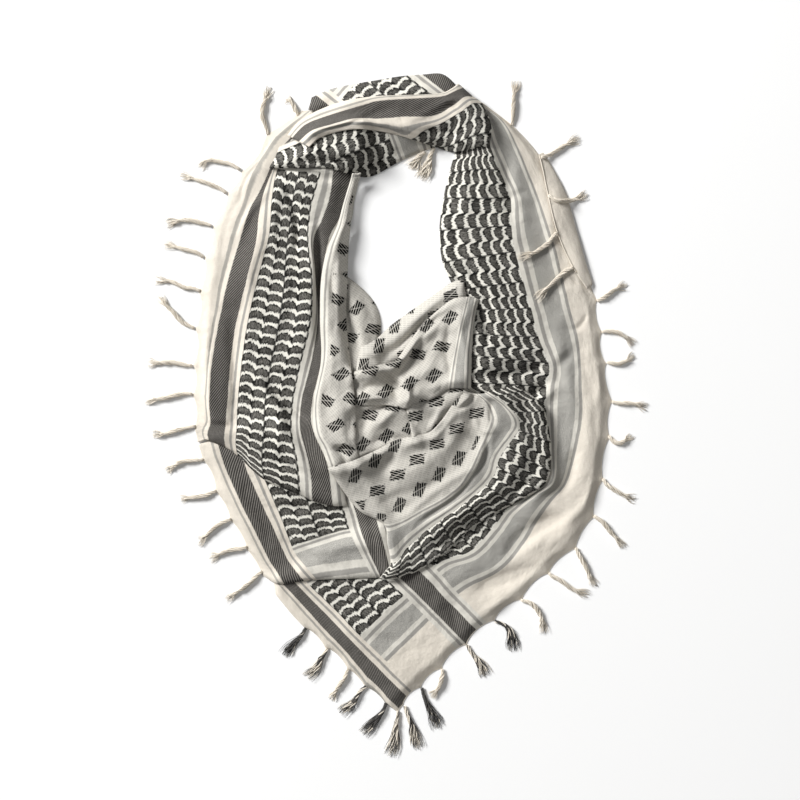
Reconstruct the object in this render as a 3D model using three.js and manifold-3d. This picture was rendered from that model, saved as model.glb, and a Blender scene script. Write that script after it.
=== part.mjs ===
import * as THREE from "three";
import Module from "manifold-3d";

// Square cotton jacquard stole with tasselled edges, wound into a loop and laid flat.
// Millimetres, Z up, the point towards -Y, the neck end towards +Y.

// Driving sizes
const WALL = 2.0; // cloth with its air, measured upwards
const GAP = 0.3; // between one layer and the next
const CELL = 1.6; // cell of the height map that carries the layers
const MESH_STEP = 24; // longest mesh cell along and across a stretch
const CLOTH_ROUNDING = 9; // reach over which a layer smooths what lies under it
const FOLD_RAMP = 15; // a folded edge comes down over this reach
const SEAM_RAMP = 9;
const STRIP_OFF = 0.45; // edge strip to cloth edge
const STRIP_WIDTH = 4.2;
const STRIP_HIGH = 2.0;
const STRIP_END = 9; // a strip runs on past its last tassel
const LOCK_RADIUS = 1.35;
const LOCK_SPREAD = 3.3; // between the roots of two locks of one tassel
const TIP_SPREAD = 4.6;
const LOCK_SHORTER = 0.08; // outer locks of a tassel end this share earlier
const LOCK_HEIGHT = 1.7; // height of a lock over its half width
const LOCK_TAPER = [0.8, 1, 1.15, 0.7]; // half width from root to tip, times LOCK_RADIUS
const LOCK_PROBE = 0.1; // share of a lock's span between two probes of the cloth under it
const LOCK_LIFT = 0.4; // underside of a lock over what it lies on
const ORIGIN = { x: -2.04, y: -0.32 }; // middle of the stole in the tables' frame
const CROWN = 2.2; // a plain stretch stands this much off what it lies on
const FLAP_CROWN = 0.6;
const RIDGE_FOOT = 0.7; // foot of a ridge on each side, as a share of its width
const RIDGE_END = 0.6; // how bluntly a ridge dies out at its ends
const HEM_CURVE = 1.3; // how flat a hem lies before it lifts
const SEAT_ROUNDS = 14;
const SEAT_SLACK = 0.002;
const STEP_SLACK = 0.25; // a span this much over a mesh step still counts as one

const CLOTH_ROUGHNESS = 0.9;

// Colours
const CREAM = 0xe6dfd2;
const WOVEN = 0x8f8c86;
const CENTRE = 0xcfcbc2;
const BAND = 0x6e6b66;

const RIGHT_DRAPE = {
  columns: ["hem", "stripe", "band", "leaf", "tuck"],
  rows: [
    [[0, -419], [-45, -384], [-77, -351], [-111, -319], [-171, -253]],
    [[3, -412], [-42, -367], [-71, -333], [-106, -297], [-171, -228]],
    [[60, -357], [17, -312], [-17, -279], [-50, -245], [-95, -195]],
    [[134, -290], [91, -245], [59, -210], [31, -185], [-6, -148]],
    [[210, -224], [174, -182], [132, -164], [102, -139], [63, -105]],
    [[273, -146], [214, -120], [185, -112], [157, -85], [112, -52]],
    [[293, -55], [246, -55], [211, -45], [178, -27], [115, -4]],
    [[298, 28], [255, 31], [209, 32], [155, 36], [76, 41]],
    [[286, 106], [249, 105], [199, 102], [151, 104], [77, 111]],
    [[267, 182], [227, 186], [176, 183], [137, 179], [78, 175]],
    [[245, 259], [206, 260], [160, 262], [115, 259], [59, 256]],
    [[211, 337], [179, 336], [143, 339], [112, 340], [73, 337]],
    [[160, 402], [144, 409], [119, 407], [106, 407], [85, 402]],
    [[118, 434], [112, 434], [101, 430], [91, 426], [76, 417]],
  ],
};

const LEFT_APRON = {
  columns: ["hem", "line", "edge", "mid", "tuck"],
  rows: [
    [[-279, -45], [-262, -38], [-204, -18], [-112, -21], [-50, -43]],
    [[-251, -119], [-230, -120], [-178, -113], [-85, -105], [-28, -118]],
    [[-207, -197], [-188, -204], [-146, -193], [-66, -168], [-6, -172]],
    [[-188, -228], [-167, -238], [-113, -232], [-35, -230], [7, -228]],
  ],
};

const LEFT_DRAPE = {
  columns: ["hem", "fold", "edge", "leaf", "mid", "tuck"],
  rows: [
    [[-133, 423], [-118, 423], [-115, 419], [-106, 407], [-87, 399], [-50, 399]],
    [[-188, 385], [-160, 374], [-154, 370], [-134, 368], [-99, 368], [-49, 368]],
    [[-223, 330], [-192, 312], [-176, 298], [-147, 294], [-119, 295], [-62, 298]],
    [[-256, 267], [-224, 252], [-185, 239], [-154, 238], [-126, 239], [-78, 242]],
    [[-273, 203], [-241, 190], [-199, 183], [-161, 181], [-125, 182], [-94, 186]],
    [[-286, 78], [-262, 76], [-220, 71], [-182, 69], [-140, 70], [-95, 74]],
    [[-286, -8], [-266, -11], [-227, -20], [-190, -24], [-144, -24], [-95, -21]],
    [[-283, -25], [-266, -27], [-227, -42], [-189, -66], [-139, -71], [-80, -69]],
    [[-280, -41], [-265, -38], [-224, -59], [-186, -92], [-136, -113], [-73, -129]],
  ],
};

const NECK_TOP = {
  columns: ["fold", "mid", "tuck"],
  rows: [
    [[-120, 441], [-122, 434], [-125, 424]],
    [[-64, 459], [-67, 441], [-73, 419]],
    [[3, 470], [3, 447], [3, 420]],
    [[63, 473], [67, 452], [73, 428]],
    [[84, 455], [91, 444], [98, 430]],
  ],
};

const NECK_LOWER = {
  columns: ["tuck", "mid", "fold"],
  rows: [
    [[-165, 371], [-171, 357], [-179, 343]],
    [[-102, 396], [-102, 370], [-101, 342]],
    [[-38, 409], [-38, 372], [-38, 332]],
    [[-8, 407], [-4, 378], [0, 351]],
    [[45, 388], [50, 381], [56, 374]],
  ],
};

const NECK_BAND = {
  columns: ["fold", "stripe", "edge", "under"],
  rows: [
    [[-154, 388], [-137, 378], [-133, 375], [-123, 370]],
    [[-106, 424], [-91, 400], [-90, 398], [-84, 391]],
    [[-31, 440], [-25, 409], [-22, 402], [-14, 391]],
    [[42, 442], [49, 413], [52, 402], [52, 372]],
    [[63, 445], [76, 427], [83, 416], [78, 365]],
    [[76, 452], [92, 440], [102, 430], [101, 368]],
    [[84, 459], [104, 442], [116, 433], [127, 372]],
  ],
};

const BACK_SWAG = {
  columns: ["tuck", "mid", "fold"],
  rows: [
    [[-87, 203], [-80, 197], [-71, 190]],
    [[-87, 141], [-62, 147], [-34, 154]],
    [[-84, 94], [-53, 99], [-25, 108]],
    [[-70, 49], [-48, 56], [-28, 66]],
  ],
};

const ROLL_SWAG = {
  columns: ["fold", "mid", "tuck"],
  rows: [
    [[-52, 91], [-56, 71], [-59, 49]],
    [[-10, 122], [-6, 97], [1, 70]],
    [[49, 164], [49, 146], [53, 125]],
    [[101, 190], [99, 178], [98, 162]],
  ],
};

const UNDER_SWAG = {
  columns: ["tuck", "mid", "under"],
  rows: [
    [[-84, 4], [-74, -38], [-70, -74]],
    [[-42, 22], [-34, -7], [-20, -57]],
    [[6, 25], [8, 7], [17, -43]],
    [[22, 24], [21, 1], [27, -41]],
  ],
};

const POCKET_FOLD = {
  columns: ["tuck", "mid", "under"],
  rows: [
    [[6, 27], [15, -7], [21, -41]],
    [[50, 41], [56, 7], [60, -24]],
    [[92, 49], [97, 27], [99, 11]],
  ],
};

const MAIN_SWAG = {
  columns: ["fold", "mid", "low", "lip"],
  rows: [
    [[111, 161], [104, 123], [101, 81], [101, 35]],
    [[85, 162], [78, 123], [73, 81], [69, 34]],
    [[42, 130], [34, 105], [27, 69], [22, 14]],
    [[-3, 74], [-7, 63], [-13, 39], [-13, 11]],
    [[-69, 55], [-67, 43], [-64, 29], [-60, 10]],
  ],
};

const INNER_FOLD = {
  columns: ["seam", "crown", "fold"],
  rows: [
    [[-60, 343], [-53, 343], [-49, 343]],
    [[-98, 228], [-77, 228], [-70, 228]],
    [[-108, 130], [-85, 130], [-73, 130]],
    [[-116, 18], [-84, 18], [-60, 18]],
    [[-116, -24], [-81, -24], [-59, -24]],
    [[-94, -80], [-69, -77], [-53, -69]],
  ],
};

const LOWER_SWAG = {
  columns: ["fold", "leaf", "line", "edge", "lip"],
  rows: [
    [[-25, -231], [-18, -221], [-10, -209], [-20, -154], [-97, -77]],
    [[18, -224], [15, -207], [14, -186], [6, -148], [-60, -66]],
    [[92, -168], [83, -151], [74, -139], [62, -118], [-1, -38]],
    [[175, -119], [154, -104], [132, -90], [99, -76], [45, -27]],
    [[213, -66], [186, -52], [160, -35], [120, -29], [74, 8]],
    [[210, -24], [190, -20], [169, -15], [127, -7], [83, 20]],
    [[199, 13], [179, 10], [154, 8], [122, 13], [91, 27]],
    [[164, 38], [146, 34], [126, 29], [108, 27], [91, 31]],
  ],
};

const RIGHT_FLAP = {
  columns: ["hem", "fold"],
  rows: [
    [[265, 174], [272, 181]],
    [[245, 203], [262, 211]],
    [[223, 252], [249, 255]],
    [[210, 302], [235, 304]],
    [[197, 361], [203, 364]],
  ],
};

const CORE_RING = [
  [6, 385, 3, 452, 20],
  [-36, 377, -71, 438, 20],
  [-67, 354, -120, 379, 18],
  [-81, 312, -165, 323, 12],
  [-90, 242, -190, 253, 9],
  [-92, 179, -207, 175, 9],
  [-84, 127, -218, 95, 10],
  [-53, 95, -224, 18, 12],
  [-34, 88, -207, -38, 14],
  [-20, 88, -143, -99, 17],
  [-8, 91, -74, -129, 19],
  [3, 99, 0, -171, 19],
  [15, 109, 59, -139, 18],
  [29, 119, 118, -91, 17],
  [48, 133, 164, -24, 14],
  [70, 147, 185, 60, 12],
  [92, 169, 171, 158, 9],
  [87, 221, 150, 228, 9],
  [87, 277, 146, 284, 9],
  [95, 326, 140, 333, 10],
  [101, 368, 123, 399, 15],
  [59, 385, 81, 441, 18],
];

const FRINGE_LEFT_DRAPE = [
  [-140, 417, -146, 430, -155, 440, 3],
  [-182, 391, -189, 421, -182, 452, 3],
  [-221, 340, -255, 354, -276, 344, 3],
  [-241, 308, -270, 323, -301, 332, 3],
  [-262, 262, -288, 269, -322, 265, 3],
  [-273, 218, -294, 228, -325, 237, 3],
  [-277, 171, -305, 179, -336, 186, 3],
  [-286, 119, -308, 133, -333, 161, 3],
  [-288, 66, -319, 70, -349, 71, 3],
  [-288, 27, -319, 24, -350, 14, 3],
  [-284, -18, -312, -25, -340, -31, 3],
];

const FRINGE_LEFT_APRON = [
  [-273, -66, -301, -69, -323, -80, 3],
  [-255, -109, -277, -116, -302, -122, 3],
  [-234, -148, -256, -161, -279, -181, 3],
  [-211, -188, -235, -193, -262, -202, 3],
  [-190, -221, -213, -241, -238, -259, 3],
];

const FRINGE_POINT_LEFT = [
  [-129, -301, -141, -318, -157, -337, 3],
  [-99, -329, -109, -349, -126, -368, 3],
  [-70, -358, -80, -378, -92, -399, 3],
  [-45, -382, -62, -400, -78, -417, 3],
  [-17, -406, -27, -426, -46, -447, 3],
];

const FRINGE_POINT_RIGHT = [
  [0, -417, -3, -445, -10, -476, 2],
  [10, -410, 18, -437, 28, -466, 3],
  [34, -385, 43, -412, 55, -438, 3],
  [62, -358, 60, -378, 46, -393, 3],
  [97, -325, 111, -346, 123, -365, 3],
  [136, -291, 155, -304, 162, -329, 3],
];

const FRINGE_RIGHT = [
  [172, -262, 193, -273, 203, -304, 3],
  [211, -224, 231, -238, 263, -253, 3],
  [249, -189, 260, -213, 274, -239, 3],
  [274, -144, 293, -160, 314, -186, 3],
  [287, -92, 304, -109, 329, -119, 3],
  [295, -32, 311, -42, 325, -32, 2],
  [300, 15, 319, 14, 346, 8, 3],
  [293, 71, 309, 70, 329, 78, 3],
  [286, 113, 305, 113, 328, 97, 3],
  [279, 157, 294, 167, 318, 178, 3],
];

const FRINGE_SHOULDER = [
  [160, 403, 161, 430, 167, 461, 3],
];

const FRINGE_FLAP = [
  [200, 357, 221, 367, 251, 384, 3],
  [210, 304, 235, 295, 260, 307, 3],
  [221, 252, 203, 232, 172, 216, 3],
  [244, 203, 224, 189, 195, 162, 3],
];

const FRINGE_NECK = [
  [38, 365, 27, 354, 18, 343, 2],
  [50, 371, 42, 349, 34, 329, 2],
];
// Ridges of each stretch: along from-to and across from-to as fractions, width across, height, both mm
const RIDGES = {
  right_drape: [
    { from: [0.34, 0.3], to: [0.55, 0.55], width: 34, height: 6 },
    { from: [0.38, 0.75], to: [0.66, 0.8], width: 40, height: 7 },
    { from: [0.6, 0.45], to: [0.95, 0.4], width: 44, height: 6 },
    { from: [0.02, 0.5], to: [0.3, 0.42], width: 60, height: 4 },
    { from: [0.42, 0.12], to: [0.62, 0.2], width: 30, height: 4 },
  ],
  left_apron: [
    { from: [0.1, 0.3], to: [0.9, 0.55], width: 40, height: 4 },
    { from: [0.5, 0.85], to: [1, 0.9], width: 30, height: 5 },
  ],
  left_drape: [
    { from: [0.2, 0.35], to: [0.55, 0.22], width: 32, height: 5 },
    { from: [0.55, 0.2], to: [1, 0.25], width: 34, height: 5 },
    { from: [0.3, 0.75], to: [0.7, 0.7], width: 36, height: 6 },
    { from: [0.66, 0.42], to: [0.95, 0.82], width: 26, height: 6 },
  ],
  neck_top: [{ from: [0.05, 0.4], to: [0.95, 0.5], width: 26, height: 6 }],
  neck_lower: [{ from: [0.05, 0.6], to: [0.9, 0.55], width: 26, height: 6 }],
  neck_band: [{ from: [0.05, 0.5], to: [0.9, 0.5], width: 24, height: 5 }],
  back_swag: [{ from: [0.1, 0.55], to: [0.95, 0.6], width: 22, height: 4 }],
  roll_swag: [{ from: [0.05, 0.35], to: [0.95, 0.35], width: 24, height: 7 }],
  under_swag: [{ from: [0.05, 0.55], to: [0.95, 0.5], width: 22, height: 4 }],
  pocket_fold: [{ from: [0.05, 0.45], to: [0.95, 0.5], width: 20, height: 3 }],
  main_swag: [
    { from: [0.05, 0.25], to: [0.95, 0.3], width: 30, height: 6 },
    { from: [0.15, 0.75], to: [0.6, 0.7], width: 26, height: 6 },
    { from: [0.68, 0.8], to: [0.98, 0.75], width: 20, height: 4 },
  ],
  inner_fold: [{ from: [0.15, 0.6], to: [0.98, 0.6], width: 24, height: 6 }],
  lower_swag: [
    { from: [0.02, 0.2], to: [0.85, 0.18], width: 26, height: 7 },
    { from: [0.2, 0.75], to: [0.8, 0.8], width: 30, height: 5 },
    { from: [0.45, 0.5], to: [0.95, 0.5], width: 24, height: 4 },
  ],
  right_flap: [],
};

// Height map: the highest cloth so far over every cell of the floor
const MAP = { x0: -372, y0: -498, nx: Math.ceil(744 / CELL), ny: Math.ceil(996 / CELL) };
const heights = new Float64Array(MAP.nx * MAP.ny);
const cellOf = (x, y) => [Math.floor((x - MAP.x0) / CELL), Math.floor((y - MAP.y0) / CELL)];

function raiseCell(map, x, y, z) {
  const [i, j] = cellOf(x, y);
  const at = j * MAP.nx + i;
  if (z > map[at]) map[at] = z;
}

// The highest of the nine cells round a point
function highest(map, x, y) {
  const [i, j] = cellOf(x, y);
  let top = 0;
  for (let b = j - 1; b <= j + 1; b += 1) {
    for (let a = i - 1; a <= i + 1; a += 1) {
      top = Math.max(top, map[b * MAP.nx + a]);
    }
  }
  return top;
}

function smoothHeight(map, x, y) {
  const reach = Math.round(CLOTH_ROUNDING / CELL);
  let sum = 0;
  let weight = 0;
  const [i, j] = cellOf(x, y);
  for (let b = -reach; b <= reach; b += 1) {
    for (let a = -reach; a <= reach; a += 1) {
      const w = Math.max(0, 1 - Math.hypot(a, b) / (reach + 1));
      sum += w * map[(j + b) * MAP.nx + i + a];
      weight += w;
    }
  }
  return sum / weight;
}

const mix = (a, b, t) => a + (b - a) * t;
const clamp01 = (t) => Math.min(1, Math.max(0, t));

function spline(p0, p1, p2, p3, t) {
  const at = (k) =>
    0.5 *
    (2 * p1[k] +
      (p2[k] - p0[k]) * t +
      (2 * p0[k] - 5 * p1[k] + 4 * p2[k] - p3[k]) * t * t +
      (3 * p1[k] - p0[k] - 3 * p2[k] + p3[k]) * t * t * t);
  return [at(0), at(1)];
}

// A row of points refined by a smooth curve through them, steps[k] cells in interval k
function refineRow(points, steps) {
  const out = [];
  const last = points.length - 1;
  const get = (k) => {
    if (k < 0) return points[0].map((v, c) => 2 * v - points[1][c]);
    if (k > last) return points[last].map((v, c) => 2 * v - points[last - 1][c]);
    return points[k];
  };
  for (let k = 0; k < last; k += 1) {
    for (let n = 0; n < steps[k]; n += 1) {
      out.push(spline(get(k - 1), get(k), get(k + 1), get(k + 2), n / steps[k]));
    }
  }
  out.push([...points[last]]);
  return out;
}

const distance = (p, q) => Math.hypot(p[0] - q[0], p[1] - q[1]);
const stepsFor = (lengths) => lengths.map((l) => Math.max(1, Math.ceil(l / MESH_STEP - STEP_SLACK)));
const longest = (list) => list.reduce((a, b) => Math.max(a, b), 0);
const mean = (list) => list.reduce((a, b) => a + b, 0) / list.length;
const typical = (list) => (longest(list) + mean(list)) / 2;

// The plan of a stretch: points[row][column]
function planOf(table) {
  const rows = table.rows;
  const across = [];
  for (let c = 0; c < rows[0].length - 1; c += 1) {
    const spans = rows.map((r) => distance(r[c], r[c + 1]));
    across.push(typical(spans));
  }
  const along = [];
  for (let r = 0; r < rows.length - 1; r += 1) {
    const spans = rows[r].map((p, c) => distance(p, rows[r + 1][c]));
    along.push(typical(spans));
  }
  const fine = rows.map((row) => refineRow(row, stepsFor(across)));
  const alongSteps = stepsFor(along);
  const columns = fine[0].map((_, c) => refineRow(fine.map((row) => row[c]), alongSteps));
  return columns[0].map((_, r) => columns.map((column) => column[r]));
}

// Height of the ridges and of the rounded edges over the layer below, at (along, across)
function reliefOf(name, table, plan, r, c) {
  const rows = plan.length - 1;
  const cols = plan[0].length - 1;
  const v = r / rows;
  const u = c / cols;
  const width = distance(plan[r][0], plan[r][cols]);
  let height = 0;
  for (const ridge of RIDGES[name]) {
    if (v < ridge.from[0] || v > ridge.to[0]) continue;
    const t = (v - ridge.from[0]) / (ridge.to[0] - ridge.from[0]);
    const centre = mix(ridge.from[1], ridge.to[1], t);
    const off = Math.abs(u - centre) * width;
    const side = Math.max(0, 1 - off / (ridge.width * RIDGE_FOOT));
    height += ridge.height * Math.sin(Math.PI * t) ** RIDGE_END * side * side * (3 - 2 * side);
  }
  const ramp = (kind, away) => {
    if (kind === "hem") return clamp01(away / FOLD_RAMP) ** HEM_CURVE;
    if (kind === "fold") return Math.sqrt(1 - (1 - clamp01(away / FOLD_RAMP)) ** 2);
    return clamp01(away / SEAM_RAMP);
  };
  const crown = name === "right_flap" ? FLAP_CROWN : CROWN;
  const first = table.columns[0];
  const final = table.columns[table.columns.length - 1];
  const here = plan[r][c];
  const edge = ramp(first, distance(plan[r][0], here)) * ramp(final, distance(plan[r][cols], here));
  const ends = ramp("fold", distance(plan[0][c], here)) * ramp("fold", distance(plan[rows][c], here));
  return (height + crown) * edge * ends;
}

// Lays a net of points on the map: every vertex as low as keeps each triangle GAP clear of it
function seat(net, map) {
  const low = net.map((row) =>
    row.map((p) => {
      const h = smoothHeight(map, p[0], p[1]);
      return h + GAP * clamp01(h / WALL);
    }),
  );
  const push = (corners, floor) => {
    const [a, b, c] = corners.map(([r, k]) => net[r][k]);
    const n = Math.max(2, Math.ceil(longest([distance(a, b), distance(b, c), distance(c, a)]) / CELL));
    for (let i = 0; i <= n; i += 1) {
      for (let j = 0; j <= n - i; j += 1) {
        const w = [i / n, j / n, (n - i - j) / n];
        const x = w[0] * a[0] + w[1] * b[0] + w[2] * c[0];
        const y = w[0] * a[1] + w[1] * b[1] + w[2] * c[1];
        const under = highest(map, x, y);
        if (under <= 0) continue;
        const z = corners.reduce((sum, [r, k], m) => sum + w[m] * low[r][k], 0);
        const lack = under + GAP - z;
        if (lack <= floor) continue;
        const scale = lack / (w[0] ** 2 + w[1] ** 2 + w[2] ** 2);
        corners.forEach(([r, k], m) => {
          low[r][k] += scale * w[m];
        });
      }
    }
  };
  for (let round = 0; round < SEAT_ROUNDS; round += 1) {
    for (let r = 0; r < net.length - 1; r += 1) {
      for (let k = 0; k < net[0].length - 1; k += 1) {
        push([[r, k], [r, k + 1], [r + 1, k + 1]], SEAT_SLACK);
        push([[r, k], [r + 1, k + 1], [r + 1, k]], SEAT_SLACK);
      }
    }
  }
  return low;
}

// Marks every cell under a net whose tops are given
function mark(map, net, top) {
  for (let r = 0; r < net.length - 1; r += 1) {
    for (let k = 0; k < net[0].length - 1; k += 1) {
      const q = [[r, k], [r, k + 1], [r + 1, k + 1], [r + 1, k]];
      const halves = [[q[0], q[1], q[2]], [q[0], q[2], q[3]]];
      for (const half of halves) {
        const [a, b, c] = half.map(([i, j]) => net[i][j]);
        const span = longest([distance(a, b), distance(b, c), distance(c, a)]);
        const n = Math.max(2, Math.ceil((2 * span) / CELL));
        for (let i = 0; i <= n; i += 1) {
          for (let j = 0; j <= n - i; j += 1) {
            const w = [i / n, j / n, (n - i - j) / n];
            const x = w[0] * a[0] + w[1] * b[0] + w[2] * c[0];
            const y = w[0] * a[1] + w[1] * b[1] + w[2] * c[1];
            const z = half.reduce((sum, [s, t], m) => sum + w[m] * top[s][t], 0);
            raiseCell(map, x, y, z);
          }
        }
      }
    }
  }
}

// Positive where rows and columns turn counter-clockwise seen from above
function signedArea(net) {
  let sum = 0;
  for (let r = 0; r < net.length - 1; r += 1) {
    for (let c = 0; c < net[0].length - 1; c += 1) {
      const [a, b] = [net[r][c], net[r + 1][c + 1]];
      const [p, q] = [net[r][c + 1], net[r + 1][c]];
      sum += (b[0] - a[0]) * (q[1] - p[1]) - (b[1] - a[1]) * (q[0] - p[0]);
    }
  }
  return sum;
}

// A closed wall between two heights over one net; ring closes the rows on themselves
function wallGeometry(net, low, top, ring = false) {
  const rows = net.length;
  const cols = net[0].length;
  const position = [];
  for (const level of [low, top]) {
    net.forEach((row, r) => row.forEach((p, c) => position.push(p[0], p[1], level[r][c])));
  }
  const at = (level, r, c) => level * rows * cols + (r % rows) * cols + c;
  const ccw = signedArea(net) > 0;
  const index = [];
  const quad = (a, b, c, d) => (ccw ? index.push(a, b, c, a, c, d) : index.push(a, c, b, a, d, c));
  const spans = ring ? rows : rows - 1;
  for (let r = 0; r < spans; r += 1) {
    for (let c = 0; c < cols - 1; c += 1) {
      quad(at(1, r, c), at(1, r, c + 1), at(1, r + 1, c + 1), at(1, r + 1, c));
      quad(at(0, r, c), at(0, r + 1, c), at(0, r + 1, c + 1), at(0, r, c + 1));
    }
    quad(at(0, r, 0), at(1, r, 0), at(1, r + 1, 0), at(0, r + 1, 0));
    quad(at(1, r, cols - 1), at(0, r, cols - 1), at(0, r + 1, cols - 1), at(1, r + 1, cols - 1));
  }
  if (!ring) {
    for (let c = 0; c < cols - 1; c += 1) {
      quad(at(1, 0, c), at(0, 0, c), at(0, 0, c + 1), at(1, 0, c + 1));
      quad(at(0, rows - 1, c), at(1, rows - 1, c), at(1, rows - 1, c + 1), at(0, rows - 1, c + 1));
    }
  }
  const geometry = new THREE.BufferGeometry();
  geometry.setAttribute("position", new THREE.Float32BufferAttribute(position, 3));
  geometry.setIndex(index);
  geometry.computeVertexNormals();
  return geometry;
}

const group = new THREE.Group();
group.name = "jacquard_stole";
function add(name, geometry, colour) {
  const material = new THREE.MeshStandardMaterial({
    color: colour,
    roughness: CLOTH_ROUGHNESS,
    metalness: 0,
  });
  const mesh = new THREE.Mesh(geometry, material);
  mesh.name = name;
  group.add(mesh);
}

// The hidden layers: a rounded ring about the neck opening, flat on the floor
const CORE_PROFILE = [
  { across: 0, high: 0.3 },
  { across: 0.14, high: 0.82 },
  { across: 0.45, high: 1 },
  { across: 0.78, high: 0.86 },
  { across: 1, high: 0.25 },
];
function hiddenLayers() {
  const net = [];
  const top = [];
  const count = CORE_RING.length;
  CORE_RING.forEach((row, k) => {
    const next = CORE_RING[(k + 1) % count];
    const previous = CORE_RING[(k + count - 1) % count];
    const after = CORE_RING[(k + 2) % count];
    for (const t of [0, 0.5]) {
      const inner = spline(previous.slice(0, 2), row.slice(0, 2), next.slice(0, 2), after.slice(0, 2), t);
      const outer = spline(previous.slice(2, 4), row.slice(2, 4), next.slice(2, 4), after.slice(2, 4), t);
      const high = mix(row[4], next[4], t);
      const between = (f) => [mix(inner[0], outer[0], f), mix(inner[1], outer[1], f)];
      net.push(CORE_PROFILE.map((s) => between(s.across)));
      top.push(CORE_PROFILE.map((s) => high * s.high));
    }
  });
  const low = top.map((row) => row.map(() => 0));
  add("hidden_layers", wallGeometry(net, low, top, true), CENTRE);
  mark(heights, [...net, net[0]], [...top, top[0]]);
}

const wasm = await Module();
wasm.setup();
function solidOf(geometry) {
  const vertProperties = new Float32Array(geometry.getAttribute("position").array);
  const triVerts = new Uint32Array(geometry.getIndex().array);
  return new wasm.Manifold(new wasm.Mesh({ numProp: 3, vertProperties, triVerts }));
}
function geometryOf(solid) {
  const mesh = solid.getMesh();
  const geometry = new THREE.BufferGeometry();
  const position = [];
  for (let v = 0; v < mesh.vertProperties.length; v += mesh.numProp) {
    position.push(mesh.vertProperties[v], mesh.vertProperties[v + 1], mesh.vertProperties[v + 2]);
  }
  geometry.setAttribute("position", new THREE.Float32BufferAttribute(position, 3));
  geometry.setIndex(Array.from(mesh.triVerts));
  return geometry;
}

// One lock of a tassel: a three-sided strand along root, middle and tip
function lockGeometry(path, sizes, bases) {
  const position = [];
  path.forEach((p, k) => {
    const to = path[Math.min(k + 1, path.length - 1)];
    const from = path[Math.max(k - 1, 0)];
    const length = distance(to, from);
    const side = [-(to[1] - from[1]) / length, (to[0] - from[0]) / length];
    position.push(p[0] - side[0] * sizes[k], p[1] - side[1] * sizes[k], bases[k]);
    position.push(p[0] + side[0] * sizes[k], p[1] + side[1] * sizes[k], bases[k]);
    position.push(p[0], p[1], bases[k] + LOCK_HEIGHT * sizes[k]);
  });
  const index = [0, 2, 1];
  for (let k = 0; k < path.length - 1; k += 1) {
    for (let m = 0; m < 3; m += 1) {
      const a = 3 * k + m;
      const b = 3 * k + ((m + 1) % 3);
      index.push(a, b, b + 3, a, b + 3, a + 3);
    }
  }
  const end = 3 * (path.length - 1);
  index.push(end, end + 1, end + 2);
  const geometry = new THREE.BufferGeometry();
  geometry.setAttribute("position", new THREE.Float32BufferAttribute(position, 3));
  geometry.setIndex(index);
  return geometry;
}

// Heights of a lock's underside: clear of the cloth under all of its length
function lockBases(path, map, level) {
  const clear = (p) => {
    const under = highest(map, p[0], p[1]);
    return under > 0 ? under + GAP + LOCK_LIFT : LOCK_LIFT;
  };
  const bases = path.map(clear);
  bases[0] = Math.max(level + LOCK_LIFT, 0);
  for (let round = 0; round < 12; round += 1) {
    for (let k = 0; k < path.length - 1; k += 1) {
      for (let t = LOCK_PROBE / 2; t < 1; t += LOCK_PROBE) {
        const need = clear([mix(path[k][0], path[k + 1][0], t), mix(path[k][1], path[k + 1][1], t)]);
        const lack = need - mix(bases[k], bases[k + 1], t);
        if (lack <= 0) continue;
        const rootShare = k === 0 ? 0 : (1 - t) ** 2;
        const scale = lack / (rootShare + t * t);
        if (k > 0) bases[k] += scale * (1 - t);
        bases[k + 1] += k > 0 ? scale * t : Math.min(lack / t, LOCK_RADIUS);
      }
    }
  }
  if (bases[1] > level + STRIP_HIGH) bases[0] = level + STRIP_HIGH - LOCK_LIFT;
  return bases;
}

// The part of an edge that carries the given tassels
function edgeUnder(points, tassels) {
  const arcs = [0];
  for (let k = 1; k < points.length; k += 1) arcs.push(arcs[k - 1] + distance(points[k - 1], points[k]));
  const total = arcs[arcs.length - 1];
  const pointAt = (arc) => {
    const k = Math.min(points.length - 2, Math.max(0, arcs.findIndex((a) => a > arc) - 1));
    const t = (arc - arcs[k]) / (arcs[k + 1] - arcs[k]);
    return [mix(points[k][0], points[k + 1][0], t), mix(points[k][1], points[k + 1][1], t)];
  };
  const roots = tassels.map(([x, y]) => {
    let best = 0;
    for (let arc = 0; arc < total; arc += 1) {
      if (distance(pointAt(arc), [x, y]) < distance(pointAt(best), [x, y])) best = arc;
    }
    return best;
  });
  const from = Math.max(0.5, Math.min(...roots) - STRIP_END);
  const to = Math.min(total - 0.5, Math.max(...roots) + STRIP_END);
  return [pointAt(from), ...points.filter((_, k) => arcs[k] > from + 1 && arcs[k] < to - 1), pointAt(to)];
}

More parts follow.
